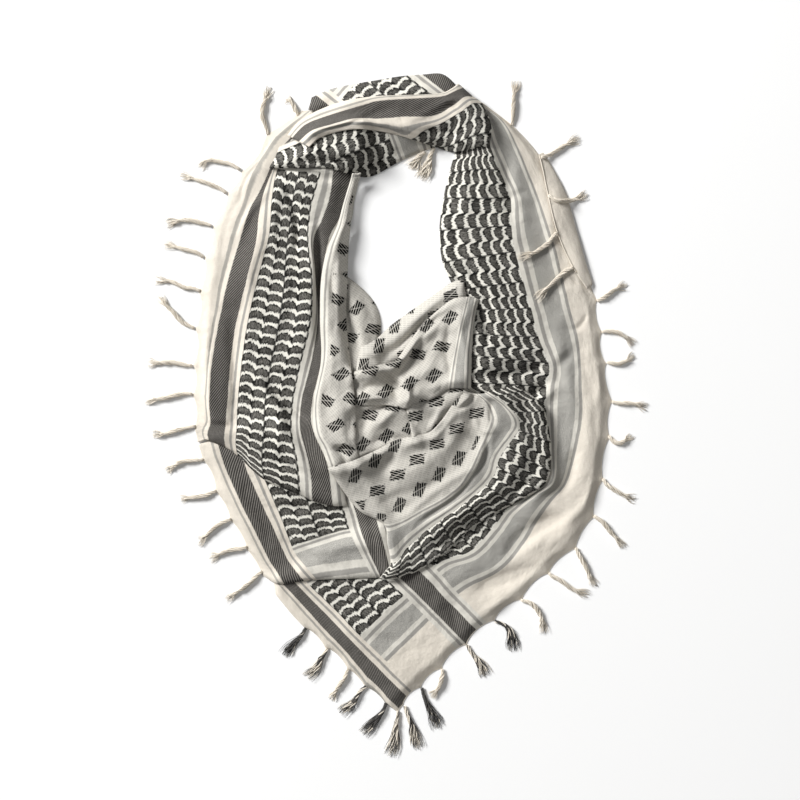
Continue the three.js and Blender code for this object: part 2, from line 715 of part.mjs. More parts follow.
// Edge strip beside (or on) a cloth edge with its tassels fused to it
function fringe(name, edge, before, over, tassels) {
  const onTop = over !== null;
  const map = onTop ? over : before;
  const net = edge.map((p, k) => {
    const from = edge[Math.max(k - 1, 0)];
    const to = edge[Math.min(k + 1, edge.length - 1)];
    const length = distance(from, to);
    const out = [(to[1] - from[1]) / length, -(to[0] - from[0]) / length];
    const start = onTop ? -STRIP_WIDTH - 1 : STRIP_OFF;
    return [start, start + STRIP_WIDTH].map((d) => [p[0] + out[0] * d, p[1] + out[1] * d]);
  });
  const low = seat(net, map);
  const top = low.map((row) => row.map((z) => z + STRIP_HIGH));
  let solid = solidOf(wallGeometry(net, low, top));
  for (const [rx, ry, mx, my, tx, ty, locks] of tassels) {
    let root = [rx, ry];
    let best = Infinity;
    let level = 0;
    let along = [1, 0];
    for (let k = 0; k < net.length - 1; k += 1) {
      const [from, to] = [net[k], net[k + 1]].map(([a, b]) => [mix(a[0], b[0], 0.5), mix(a[1], b[1], 0.5)]);
      const length = distance(from, to);
      for (let t = 0; t <= 1; t += 0.05) {
        const p = [mix(from[0], to[0], t), mix(from[1], to[1], t)];
        if (distance(p, [rx, ry]) >= best) continue;
        best = distance(p, [rx, ry]);
        root = p;
        along = [(to[0] - from[0]) / length, (to[1] - from[1]) / length];
        level = mix(mix(low[k][0], low[k][1], 0.5), mix(low[k + 1][0], low[k + 1][1], 0.5), t);
      }
    }
    const tip = [tx, ty];
    const middle = [mx, my];
    const length = distance(root, tip);
    const side = [-(tip[1] - root[1]) / length, (tip[0] - root[0]) / length];
    const turn = Math.sign(side[0] * along[0] + side[1] * along[1]) || 1;
    for (let n = 0; n < locks; n += 1) {
      const place = n - (locks - 1) / 2;
      const step = turn * place * LOCK_SPREAD;
      const shift = (p, d) => [p[0] + side[0] * place * d, p[1] + side[1] * place * d];
      const short = 1 - LOCK_SHORTER * Math.abs(place);
      const end = [mix(root[0], tip[0], short), mix(root[1], tip[1], short)];
      const path = [
        [root[0] + along[0] * step, root[1] + along[1] * step],
        shift([mix(root[0], middle[0], 0.5), mix(root[1], middle[1], 0.5)], LOCK_SPREAD),
        shift([mix(middle[0], end[0], 0.3), mix(middle[1], end[1], 0.3)], TIP_SPREAD),
        shift(end, TIP_SPREAD + 1),
      ];
      const sizes = LOCK_TAPER.map((f) => f * LOCK_RADIUS);
      const bases = lockBases(path, map, level);
      solid = solid.add(solidOf(lockGeometry(path, sizes, bases)));
      for (let k = 0; k < path.length - 1; k += 1) {
        for (let t = 0; t <= 1; t += LOCK_PROBE) {
          const x = mix(path[k][0], path[k + 1][0], t);
          const y = mix(path[k][1], path[k + 1][1], t);
          const z = mix(bases[k], bases[k + 1], t) + LOCK_HEIGHT * LOCK_TAPER[2] * LOCK_RADIUS;
          for (const d of [-2, 0, 2]) {
            raiseCell(heights, x + d, y, z);
            raiseCell(heights, x, y + d, z);
          }
        }
      }
    }
  }
  add(name, geometryOf(solid), CREAM);
  mark(heights, net, top);
}

// One stretch of cloth and the fringes on its edges
function stretch(name, table, colour, fringes = []) {
  const before = heights.slice();
  const net = planOf(table);
  const seated = seat(net, before);
  const low = seated.map((row, r) => row.map((z, c) => z + reliefOf(name, table, net, r, c)));
  const top = low.map((row) => row.map((z) => z + WALL));
  add(name, wallGeometry(net, low, top), colour);
  mark(heights, net, top);
  for (const f of fringes) {
    fringe(f.name, edgeUnder(f.edge(net), f.tassels), before, f.onTop ? heights.slice() : null, f.tassels);
  }
}

const hemOf = (net) => net.map((row) => row[0]);
const foldOf = (net) => net.map((row) => row[row.length - 1]);

hiddenLayers();
stretch("right_drape", RIGHT_DRAPE, WOVEN, [
  { name: "fringe_point_left", edge: (net) => [...net[0]].reverse(), tassels: FRINGE_POINT_LEFT },
  { name: "fringe_point_right", edge: hemOf, tassels: FRINGE_POINT_RIGHT },
  { name: "fringe_right", edge: hemOf, tassels: FRINGE_RIGHT },
  { name: "fringe_shoulder", edge: hemOf, tassels: FRINGE_SHOULDER },
]);
stretch("left_apron", LEFT_APRON, WOVEN, [
  { name: "fringe_left_apron", edge: hemOf, tassels: FRINGE_LEFT_APRON },
]);
stretch("left_drape", LEFT_DRAPE, WOVEN, [
  { name: "fringe_left_drape", edge: hemOf, tassels: FRINGE_LEFT_DRAPE },
]);
stretch("neck_top", NECK_TOP, WOVEN);
stretch("neck_lower", NECK_LOWER, WOVEN, [{ name: "fringe_neck", edge: foldOf, tassels: FRINGE_NECK }]);
stretch("neck_band", NECK_BAND, BAND);
stretch("back_swag", BACK_SWAG, CENTRE);
stretch("roll_swag", ROLL_SWAG, CENTRE);
stretch("under_swag", UNDER_SWAG, CENTRE);
stretch("pocket_fold", POCKET_FOLD, CENTRE);
stretch("main_swag", MAIN_SWAG, CENTRE);
stretch("inner_fold", INNER_FOLD, CENTRE);
stretch("lower_swag", LOWER_SWAG, CENTRE);
stretch("right_flap", RIGHT_FLAP, CREAM, [
  { name: "fringe_flap", edge: (net) => hemOf(net).reverse(), onTop: true, tassels: FRINGE_FLAP },
]);

group.position.set(-ORIGIN.x, -ORIGIN.y, 0);

export default group;
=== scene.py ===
import math
import random
from functools import partialmethod

import bpy
import numpy as np
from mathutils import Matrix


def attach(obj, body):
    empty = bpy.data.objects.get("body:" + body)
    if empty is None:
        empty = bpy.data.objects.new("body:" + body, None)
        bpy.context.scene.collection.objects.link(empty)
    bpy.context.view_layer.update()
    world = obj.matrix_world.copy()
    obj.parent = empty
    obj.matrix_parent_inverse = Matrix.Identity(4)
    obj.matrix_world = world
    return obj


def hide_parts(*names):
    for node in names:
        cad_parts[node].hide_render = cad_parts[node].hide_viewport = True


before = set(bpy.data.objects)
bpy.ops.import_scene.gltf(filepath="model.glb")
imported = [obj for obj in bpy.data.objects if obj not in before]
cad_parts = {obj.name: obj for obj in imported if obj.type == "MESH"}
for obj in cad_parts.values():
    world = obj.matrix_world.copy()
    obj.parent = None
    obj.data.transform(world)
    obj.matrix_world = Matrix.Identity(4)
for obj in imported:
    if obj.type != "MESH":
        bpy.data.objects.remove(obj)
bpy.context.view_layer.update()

# Plan positions and cloth distances are in units of UNIT mm; heights and widths are in mm.
UNIT = 1.4
MID = (398, 413)  # plan position of the middle
ORIGIN = (-2.04, -0.32)  # the frame's origin from there, mm
STEP = 3.6  # cells of the shells
WALL = 2.0  # cloth
HEM_WALL = 1.3  # cloth at a fringed edge
HEM_FADE = 12  # from HEM_WALL to WALL
GAP = 0.3  # between layers
FOLD_RAMP = 15.0  # the cloth is at full height this far in from a fold, and from a seam
SEAM_RAMP = 9.0
RIDGE_GAIN = 1.3
CREASE_GAIN = 1.6
LEAST_HEIGHT = 0.25
HEM_PULL = 6.0  # how far the hem is drawn in between tassels
HEM_REACH = 26.0  # and how far in that reaches


def fields(line):
    """The numbers of a table's row; a field with commas holds several."""
    parts = [tuple(float(v) for v in field.split(",")) for field in line.split()]
    return [p if len(p) > 1 else p[0] for p in parts]


def table(text):
    """A table's column names and rows."""
    head, *lines = text.strip().splitlines()
    return head.split(), [fields(line) for line in lines]


def grouped(text):
    """The rows of a table under the names in it; its first line names the columns."""
    groups = {}
    for line in text.strip().splitlines()[1:]:
        if line[0].isalpha():
            rows = groups[line] = []
        else:
            rows.append(fields(line))
    return groups


# Each stretch of the cloth, in the order in which they lie, with a column per line along it and a
# row per section. run is the section's distance from one fringed edge (at the first and the last
# column where it turns), and along says from which: s from the left one, t from the right one.
# across is the other distance at each column, farther its values past a run, and free the column
# from which it follows the plan. lay = (s, t, x, y, turn) is for folds that lie unstretched, and
# motif = (turn, s, t) lays the centre's motif. crown is the height of the puffed middle.
STRETCHES = {
    "right_drape": dict(
        crown=4.4, along="s", across=[0, 45, 78, 113, 148, 182],
        farther=(480, 560, [0, 47, 78, 109, 141, 150]), motif=(20, 0, 0),
        rows=table("""
run hem stripe band leaf line tuck
19,2 398,712 366,687 343,664 319,641 295,617 276,594
24,22 400,707 368,675 347,651 322,625 297,598 276,576
51 416,691 385,660 361,637 337,612 312,588 296,570
87 441,668 410,636 386,612 362,588 340,566 330,552
123 466,644 435,612 412,589 388,566 367,546 358,534
159 494,620 463,588 440,563 420,545 403,530 394,519
195 521,599 499,569 470,552 450,533 433,518 424,507
232 548,573 522,543 492,530 471,512 453,498 443,488
268 575,548 537,518 507,511 489,494 472,479 462,468
305 593,517 551,499 530,493 510,474 490,460 478,450
342 602,482 565,483 549,478 527,457 505,442 490,434
377 607,452 574,452 549,445 525,432 502,423 480,416
410 611,420 580,418 547,412 522,405 492,400 468,396
438 611,393 580,391 547,390 509,387 471,386 452,384
468 606,366 579,363 550,366 510,362 470,358 450,356
498 602,337 576,338 540,340 506,339 470,337 453,334
530 598,308 567,309 532,310 503,311 474,311 458,311
562 589,283 560,280 524,282 496,285 464,289 454,288
592 582,256 553,252 516,252 485,256 449,261 443,262
622 573,228 545,227 512,226 480,228 444,230 440,230
652 563,198 536,199 511,198 480,199 449,198 444,198
682 549,172 526,173 500,171 478,170 456,172 450,172
712 534,149 514,144 489,144 476,144 463,146 457,147
740 512,126 501,121 483,122 474,122 465,124 459,126
768 482,103 478,103 470,106 463,109 457,112 452,115
"""),
    ),
    "left_apron": dict(
        crown=3.4, along="t", across=[0, 17, 39, 51.5, 82, 113, 140, 152], motif=(0, 0, 0),
        rows=table("""
run hem line stripe edge leaf mid band tuck
302 199,445 211,440 238,430 252,426 282,423 318,428 350,438 362,444
272 206,467 219,465 245,464 258,461 288,459 325,464 355,474 368,478
242 219,498 234,499 259,497 271,494 303,489 337,488 366,494 378,497
212 235,527 250,531 273,527 283,523 313,517 345,512 374,512 387,513
182 250,554 264,559 286,556 294,551 322,541 351,533 381,534 394,536
165 257,566 272,571 295,569 305,565 333,560 362,556 387,557 399,558
160,150 264,576 279,583 304,580 317,579 344,578 373,577 393,577 403,576
"""),
    ),
    "left_drape": dict(
        crown=4.8, along="t", across=[0, 16, 22, 39, 51.5, 82, 113, 123, 140, 152],
        motif=(0, 0, 0),
        rows=table("""
run hem line fold stripe edge leaf mid side band tuck
690 303,111 309,111 314,111 315,113 316,114 322,122 336,128 342,129 356,128 362,128
672 280,124 289,125 302,126 303,127 305,128 313,134 331,138 339,139 355,138 362,138
650 264,138 273,141 284,146 286,147 288,149 302,150 327,150 338,150 358,150 363,150
630 254,156 261,157 273,163 275,165 278,167 300,170 322,171 334,171 356,171 360,171
600 239,177 250,179 261,190 264,194 272,200 293,203 313,202 329,201 349,200 354,200
580 226,198 244,202 250,210 259,218 271,222 291,223 310,222 322,221 339,220 351,220
560 215,222 234,227 242,235 257,240 268,242 288,243 309,242 314,241 329,240 342,240
520 203,268 222,273 229,278 247,281 257,282 285,284 313,281 316,281 322,280 331,280
480 197,315 214,317 220,319 237,321 248,322 280,324 312,321 318,320 323,320 330,320
440 194,357 208,358 213,359 231,361 242,362 272,364 302,362 312,361 322,360 330,360
400 193,397 205,398 210,399 228,401 238,402 266,404 294,402 302,401 313,400 324,400
375 194,419 206,420 211,422 226,425 237,427 265,430 293,430 301,429 313,428 330,428
350,338 196,431 202,431 208,432 225,438 236,443 263,460 299,464 310,466 328,464 341,462
322,306 198,442 204,440 209,440 226,447 238,455 265,479 301,494 313,500 333,505 346,505
"""),
    ),
    "neck_top": dict(
        crown=4, lay=(97, 114, 400, 90, -50),
        rows=table("""
fold mid tuck
312,98 311,103 309,110
330,90 328,100 324,113
352,85 350,98 346,114
376,81 375,96 373,114
400,77 400,94 400,113
424,75 425,91 426,111
443,75 446,90 450,107
458,88 463,96 468,106
"""),
    ),
    "neck_lower": dict(
        crown=4.4, lay=(89.6, 628, 393, 148, 68.3),
        rows=table("""
tuck mid fold
280,148 276,158 270,168
300,138 299,153 298,169
325,130 325,149 326,169
350,124 351,149 352,175
371,121 371,147 371,176
392,122 395,143 398,162
412,128 417,140 422,151
430,136 434,141 438,146
"""),
    ),
    "neck_band": dict(
        crown=4.6, along="t", across=[12, 20, 39, 44, 48, 51],
        farther=(375, 405, [15, 21, 39, 51.5, 74, 90]), motif=(0, 0, 0),
        rows=table("""
run fold line stripe edge leaf under
250 288,136 292,138 300,143 303,145 307,147 310,149
265 300,122 305,125 313,133 315,135 318,138 320,140
285 322,110 327,116 333,127 334,129 336,132 338,134
310 346,103 350,110 355,121 357,124 358,128 360,131
340 376,99 377,102 380,121 382,126 385,131 388,134
368 402,98 403,100 405,119 407,128 410,137 411,140
395 428,97 430,99 433,118 435,126 436,142 435,147
418 443,95 445,97 452,108 457,116 457,138 454,152
438 452,90 455,92 464,99 471,106 475,128 470,150
455 458,85 462,88 472,97 481,104 490,126 489,147
"""),
    ),
    "back_swag": dict(
        crown=4, lay=(230, 400, 362, 320, -20),
        rows=table("""
tuck mid fold
336,268 341,272 347,277
336,292 348,290 362,289
336,312 354,308 374,303
337,330 358,325 380,319
338,346 360,342 380,336
342,362 362,357 378,350
348,378 364,373 378,366
"""),
    ),
    "roll_swag": dict(
        crown=6.4, lay=(330, 300, 400, 340, -52),
        rows=table("""
fold mid tuck
361,348 358,362 356,378
376,340 376,356 377,374
391,326 394,344 399,363
413,310 414,326 416,344
433,296 433,309 436,324
452,283 452,295 452,308
463,281 464,289 466,299
"""),
    ),
    "under_swag": dict(
        crown=5.2, lay=(250, 420, 380, 430, -20),
        rows=table("""
tuck mid under
338,410 345,440 348,466
352,402 359,431 364,460
368,397 374,418 384,454
386,395 390,410 398,448
402,395 404,408 410,444
414,396 413,412 417,442
"""),
    ),
    "pocket_fold": dict(
        crown=6, lay=(300, 380, 430, 415, -35),
        rows=table("""
tuck mid under
402,394 409,418 413,442
418,388 422,414 425,440
434,384 438,408 441,430
450,378 453,400 456,416
464,378 467,394 469,405
"""),
    ),
    "main_swag": dict(
        crown=6.6, along="t", across=[548, 520, 488, 456], free=0, motif=(-18, 8, 4),
        rows=table("""
run fold mid low lip
152 478,300 473,326 471,355 470,388
170 472,298 466,326 461,355 459,388
187 466,298 459,325 453,355 447,389
203 451,301 442,327 435,357 431,399
222 428,320 422,338 417,364 414,403
243 411,340 408,354 402,378 405,408
264 396,360 393,368 389,385 389,405
287 373,367 371,376 371,388 372,405
309 349,374 350,382 352,392 355,406
"""),
    ),
    "inner_fold": dict(
        crown=6.4, along="t", across=[141, 153, 170, 188], free=1, motif=(-4, 6, 10),
        rows=table("""
run seam mid crown fold
634 353,175 356,175 358,175 361,174
600 345,201 348,201 350,201 352,201
575 338,226 343,226 347,226 350,226
550 328,250 336,250 343,250 348,250
520 322,280 331,280 339,280 347,279
480 321,320 329,320 337,320 346,320
440 322,360 328,360 339,360 350,360
400 315,400 320,400 338,400 355,400
370 315,430 322,430 340,430 356,430
350 323,448 331,448 344,447 356,444
328 331,470 339,470 349,468 360,462
"""),
    ),
    "lower_swag": dict(
        crown=6.4, along="s", across=[108, 130, 152, 168, 187, 221, 258], free=4,
        motif=(-38, 0, 6),
        rows=table("""
run fold leaf line band edge mid lip
152 380,578 385,571 391,562 388,543 384,523 358,508 329,468
163 390,578 394,570 397,560 393,541 390,523 366,505 338,465
185 411,573 409,561 408,546 405,531 402,519 383,500 355,460
215 440,556 433,542 427,529 425,517 422,508 400,485 377,450
245 464,533 457,521 451,512 448,503 442,497 418,473 397,440
275 494,513 485,502 475,494 468,488 458,484 437,461 415,436
305 523,498 508,487 492,477 482,472 469,467 451,449 430,432
335 545,482 523,470 499,457 489,454 477,450 461,435 442,420
365 550,460 531,450 512,438 500,437 484,434 468,421 451,407
392 548,430 534,427 519,424 507,422 489,418 474,409 457,399
420 540,404 526,406 508,407 499,406 485,404 474,400 463,394
450 515,386 502,389 488,392 483,394 475,394 469,393 463,391
"""),
    ),
    "right_flap": dict(
        crown=0.6, along="s", across=[0, 12, 23], motif=(0, 0, 0),
        rows=table("""
run hem mid fold
560 587,289 590,287 592,284
580 573,268 579,266 585,262
615 557,233 567,232 576,231
650 548,197 557,196 566,196
680 543,172 548,170 553,170
702 539,155 541,154 543,153
"""),
    ),
}

# The ring of hidden layers round the neck opening: inner and outer plan position and height
CORE_RING = table("""
inner outer height
402,138 400,90 20
372,144 347,100 20
350,160 312,142 18
340,190 280,182 12
334,240 262,232 9
332,285 250,288 9
338,322 242,345 10
360,345 238,400 12
374,350 250,440 14
384,350 296,484 17
392,348 345,505 19
400,342 398,535 19
409,335 440,512 18
419,328 482,478 17
432,318 515,430 14
448,308 530,370 12
464,292 520,300 9
460,255 505,250 9
460,215 502,210 9
466,180 498,175 10
470,150 486,128 15
440,138 456,98 18
""")[1]

# The tassels of each edge, with their plan positions and kind (a row of TASSEL_KINDS)
TASSELS = grouped("""
root middle tip kind
fringe_left_drape
298,115 294,106 287,99 0
268,134 263,112 268,90 0
240,170 216,160 201,167 0
226,193 205,182 183,176 0
211,226 192,221 168,224 0
203,257 188,250 166,244 0
200,291 180,285 158,280 0
194,328 178,318 160,298 0
192,366 170,363 149,362 0
192,394 170,396 148,403 0
195,426 175,431 155,435 0
fringe_left_apron
203,460 183,462 167,470 0
216,491 200,496 182,500 0
231,519 215,528 199,542 0
247,547 230,551 211,557 0
262,571 246,585 228,598 0
fringe_point_left
306,628 297,640 286,654 2
327,648 320,662 308,676 1
348,669 341,683 332,698 0
366,686 354,699 342,711 1
386,703 379,717 365,732 2
fringe_point_right
398,711 396,731 391,753 1
405,706 411,725 418,746 1
422,688 429,707 437,726 2
442,669 441,683 431,694 0
467,645 477,660 486,674 1
495,621 509,630 514,648 2
fringe_right
521,600 536,608 543,630 0
549,573 563,583 586,594 0
576,548 584,565 594,584 0
594,516 607,527 622,546 0
603,479 615,491 633,498 0
609,436 620,443 630,436 0
612,402 626,403 645,407 0
607,362 619,363 633,357 0
602,332 616,332 632,344 0
597,301 608,294 625,286 0
fringe_shoulder
512,125 513,106 517,84 0
fringe_flap
541,158 556,151 577,139 0
548,196 566,202 584,194 0
556,233 543,247 521,259 0
572,268 558,278 537,297 0
fringe_neck
425,152 417,160 411,168 3
434,148 428,164 422,178 3
""")

# Ridges, from and to as shares along and across the stretch; a negative height is a trough
RIDGES = grouped("""
from to width height
right_drape
0.34,0.3 0.55,0.55 34 6
0.38,0.75 0.66,0.8 40 7
0.6,0.45 0.95,0.4 44 6
0.02,0.5 0.3,0.42 60 4
0.42,0.12 0.62,0.2 30 4
left_apron
0.1,0.3 0.9,0.55 40 4
0.5,0.85 1,0.9 30 5
left_drape
0.2,0.35 0.55,0.22 32 5
0.55,0.2 1,0.25 34 5
0.3,0.75 0.7,0.7 36 6
0.66,0.42 0.95,0.82 26 6
neck_top
0.05,0.4 0.95,0.5 26 6
neck_lower
0.05,0.6 0.9,0.55 26 6
neck_band
0.05,0.5 0.9,0.5 24 5
back_swag
0.1,0.55 0.95,0.6 22 4
roll_swag
0.05,0.35 0.95,0.35 24 7
under_swag
0.05,0.55 0.95,0.5 22 4
pocket_fold
0.05,0.45 0.95,0.5 20 3
main_swag
0.05,0.25 0.95,0.3 30 6
0.15,0.75 0.6,0.7 26 6
0.68,0.8 0.98,0.75 20 4
inner_fold
0.15,0.6 0.98,0.6 24 6
lower_swag
0.02,0.2 0.85,0.18 26 7
0.2,0.75 0.8,0.8 30 5
0.45,0.5 0.95,0.5 24 4
right_flap
""")

# Smaller creases, from and to as plan positions
CREASES = grouped("""
from to width height
right_drape
452,256 494,350 8 -5
468,256 494,320 7 -4.4
476,300 488,356 6 -3.6
462,240 512,345 10 2
549,372 514,420 12 -3.4
568,346 560,390 15 -3
566,330 592,316 6 -1.8
572,272 590,300 8 -1.6
580,440 556,500 14 -2.4
600,470 560,540 14 1.8
592,500 530,560 12 -2
556,380 532,424 14 2.4
466,376 552,368 11 -4.6
474,360 546,352 12 1.8
470,390 516,414 10 -3.4
498,562 566,508 22 -4.6
470,602 544,556 24 -4.4
476,622 560,580 18 2
520,556 590,506 18 2.6
560,300 572,440 22 2.6
584,330 592,450 16 -2.2
600,320 596,420 12 1.8
535,180 562,270 18 2.4
500,150 520,240 16 -2.4
466,160 490,228 12 -2.8
480,200 530,196 9 -1.6
330,600 420,690 30 1.8
420,620 480,560 26 1.6
352,640 404,640 16 -1.4
440,600 470,640 14 -1.6
left_apron
232,470 262,540 16 2.6
262,500 352,520 14 -2.4
300,552 390,545 16 3
352,470 384,560 12 -2.8
270,540 350,572 14 -2
left_drape
262,371 308,428 8 -5.6
270,362 322,420 11 2.8
287,176 299,262 10 -4.6
262,174 346,178 10 -4.6
272,180 280,262 12 2
259,156 238,206 5 -2.2
214,300 206,430 13 2.6
236,300 232,440 12 -2
255,250 238,400 16 2
290,262 268,360 18 2
314,210 322,350 8 -3.6
268,182 236,250 10 2.4
246,182 214,262 14 -2
240,440 318,486 10 -2.4
288,380 270,470 14 2
204,420 262,446 9 -2.6
neck_top
330,98 440,86 8 -3.4
350,86 400,76 9 2
neck_lower
286,158 372,164 8 -2.6
376,126 380,172 9 -3.2
330,128 420,134 9 -2.8
neck_band
306,134 400,112 6 -2.6
400,122 470,100 7 2.2
420,130 478,144 8 -3
440,104 484,132 7 -2
back_swag
346,292 356,356 9 -3.6
360,296 372,340 10 1.8
roll_swag
376,358 440,312 7 -2.4
366,350 384,372 8 -2.4
under_swag
350,414 404,400 9 -4.4
372,424 404,410 9 2.6
362,404 362,446 16 -4
368,446 412,434 8 -3.4
pocket_fold
410,408 420,444 12 -7
424,428 452,406 8 3
430,438 454,418 8 -4.4
main_swag
448,310 398,370 11 -4.4
458,320 414,380 14 2.2
380,368 402,406 14 -6
398,374 415,412 8 4
362,380 364,408 12 -2.8
420,396 446,384 9 -3
452,312 446,384 7 -2.4
462,300 462,384 9 1.8
356,388 386,380 13 2.2
inner_fold
344,292 352,366 9 -4.4
334,256 332,340 8 -2
328,300 330,400 10 2
330,444 354,470 9 -3.6
334,454 368,444 9 -4.4
350,404 356,456 9 -3.6
lower_swag
500,508 425,552 9 -4.6
388,520 480,466 9 2.2
492,430 470,484 7 -2.6
478,470 414,532 7 -2.8
484,400 498,426 7 -2.8
470,412 490,436 8 2.2
450,410 482,392 8 -2.6
408,436 372,474 19 -4.6
344,474 398,446 10 2.4
424,446 474,424 16 2.2
372,512 450,470 13 -1.8
348,490 420,510 14 -1.6
540,476 500,508 8 -2.6
520,424 544,470 12 2.2
right_flap
545,160 580,270 5 -0.8
""")

# Heights of the cloth so far over the floor, on a map of square cells
CELL = 2.0
NX, NY = 372, 498
X0, Y0 = -372.0, -498.0
heights = np.zeros((NY, NX))
HALVES = (slice(None, -1), slice(1, None))
CORNERS = [(a, b) for a in HALVES for b in HALVES]


def plan(p):
    return ((p[0] - MID[0]) * UNIT, (MID[1] - p[1]) * UNIT)


def spread_out(a, reach, pooled):
    """Each cell pooled (np.max or np.mean) with the cells within its reach."""
    for axis in (0, 1):
        a = pooled([np.roll(a, d, axis) for d in range(-reach, reach + 1)], 0)
    return a


def sample(a, x, y):
    """The map's value at each x, y."""
    u = np.clip((x - X0) / CELL - 0.5, 0, NX - 1.001)
    v = np.clip((y - Y0) / CELL - 0.5, 0, NY - 1.001)
    i, j = u.astype(int), v.astype(int)
    fu, fv = u - i, v - j
    low = a[j, i] * (1 - fu) + a[j, i + 1] * fu
    high = a[j + 1, i] * (1 - fu) + a[j + 1, i + 1] * fu
    return low * (1 - fv) + high * fv


def mark(x, y, z):
    """Raise the map to z at each x, y."""
    i = np.clip(((x - X0) / CELL).astype(int), 0, NX - 1)
    j = np.clip(((y - Y0) / CELL).astype(int), 0, NY - 1)
    np.maximum.at(heights, (j.ravel(), i.ravel()), z.ravel())


def corner_shares(a, b):
    return [(1 - a) * (1 - b), (1 - a) * b, a * (1 - b), a * b]


def in_cells(v, shares):
    """A value inside each cell of a net, from its four corners."""
    return sum(k * v[at] for k, at in zip(shares, CORNERS))


def mark_net(net, top):
    """Raise the map to a shell's top, at 4 x 4 places in each cell."""
    places = np.linspace(0, 1, 4)
    for a in places:
        for b in places:
            w = corner_shares(a, b)
            mark(in_cells(net[..., 0], w), in_cells(net[..., 1], w), in_cells(top, w))


def smooth_step(v):
    v = np.clip(v, 0, 1)
    return v * v * (3 - 2 * v)


def curve(points, t):
    """A smooth curve through four points, at share t between the middle two."""
    p0, p1, p2, p3 = points
    bend = (2 * p0 - 5 * p1 + 4 * p2 - p3) * t**2 + (3 * p1 - p0 - 3 * p2 + p3) * t**3
    return 0.5 * (2 * p1 + (p2 - p0) * t + bend)


def refined(a):
    """The net with smooth curves both ways, in cells of about STEP."""
    for _ in range(2):
        span = np.hypot(a[1:, :, 0] - a[:-1, :, 0], a[1:, :, 1] - a[:-1, :, 1])
        typical = (span.max(1) + span.mean(1)) / 2
        steps = [max(1, math.ceil(v / STEP - 0.25)) for v in typical]
        ends = np.concatenate([[2 * a[0] - a[1]], a, [2 * a[-1] - a[-2]]])
        places = [(k, n / count) for k, count in enumerate(steps) for n in range(count)]
        out = [curve(ends[k : k + 4], share) for k, share in places]
        a = np.array(out + [a[-1]]).transpose(1, 0, 2)
    return a


def turned(p, lay):
    """Cloth distances of a plan position, for cloth that lies unstretched."""
    s0, t0, x0, y0, turn = lay
    ca, sa = math.cos(math.radians(turn)), math.sin(math.radians(turn))
    dx, dy = p[0] - x0, p[1] - y0
    return s0 + ca * dx + sa * dy, t0 + sa * dx - ca * dy


def net_of(stretch):
    """(rows, columns, 6): x, y in mm, the cloth's s, t, and the small motif's u, v."""
    grid = []
    for row in stretch["rows"][1]:
        if "lay" in stretch:
            distances = [turned(p, stretch["lay"]) for p in row]
            grid.append([(*plan(p), *d, *d) for p, d in zip(row, distances)])
            continue
        runs, *points = row
        first, last = runs if isinstance(runs, tuple) else (runs, runs)
        across = stretch["across"]
        free = stretch.get("free", len(points))
        turn, ds, dt = stretch["motif"]
        line = []
        for c, p in enumerate(points):
            run = first + (last - first) * c / (len(points) - 1)
            other = across[c]
            if c > free:
                steps = [math.dist(points[k], points[k + 1]) for k in range(free, c)]
                other = across[free] + math.copysign(sum(steps), other - across[0])
            if "farther" in stretch:
                start, end, values = stretch["farther"]
                other += (values[c] - other) * float(smooth_step((run - start) / (end - start)))
            distances = (run, other) if stretch["along"] == "s" else (other, run)
            line.append((*plan(p), *distances, *turned(p, (ds, dt, 0, 0, turn))))
        grid.append(line)
    return refined(np.array(grid, float))


def kinds_of(stretch):
    """What lies along the stretch's first and last line: a hem, fold, seam or tuck."""
    names = stretch["rows"][0]
    return names[1 if names[0] == "run" else 0], names[-1]


def edge_distance(net, line):
    return np.hypot(net[..., 0] - line[..., 0], net[..., 1] - line[..., 1])


def ramp(kind, away):
    """Share of the full height at a distance from an edge of this kind."""
    if kind == "hem":
        return np.clip(away / FOLD_RAMP, 0, 1) ** 1.3
    if kind == "fold":
        return np.sqrt(1 - (1 - np.clip(away / FOLD_RAMP, 0, 1)) ** 2)
    return np.clip(away / SEAM_RAMP, 0, 1)


def waves(x, y, seed, reach):
    """Soft unevenness between 0 and 1."""
    rng = random.Random(seed)
    total = np.zeros_like(x)
    for _ in range(7):
        angle = rng.uniform(0, math.pi)
        wave = reach * rng.uniform(0.6, 1.5)
        phase = rng.uniform(0, 2 * math.pi)
        across = x * math.cos(angle) + y * math.sin(angle)
        total = total + np.sin(across * 2 * math.pi / wave + phase)
    return np.clip(0.5 + total / 9, 0, 1)


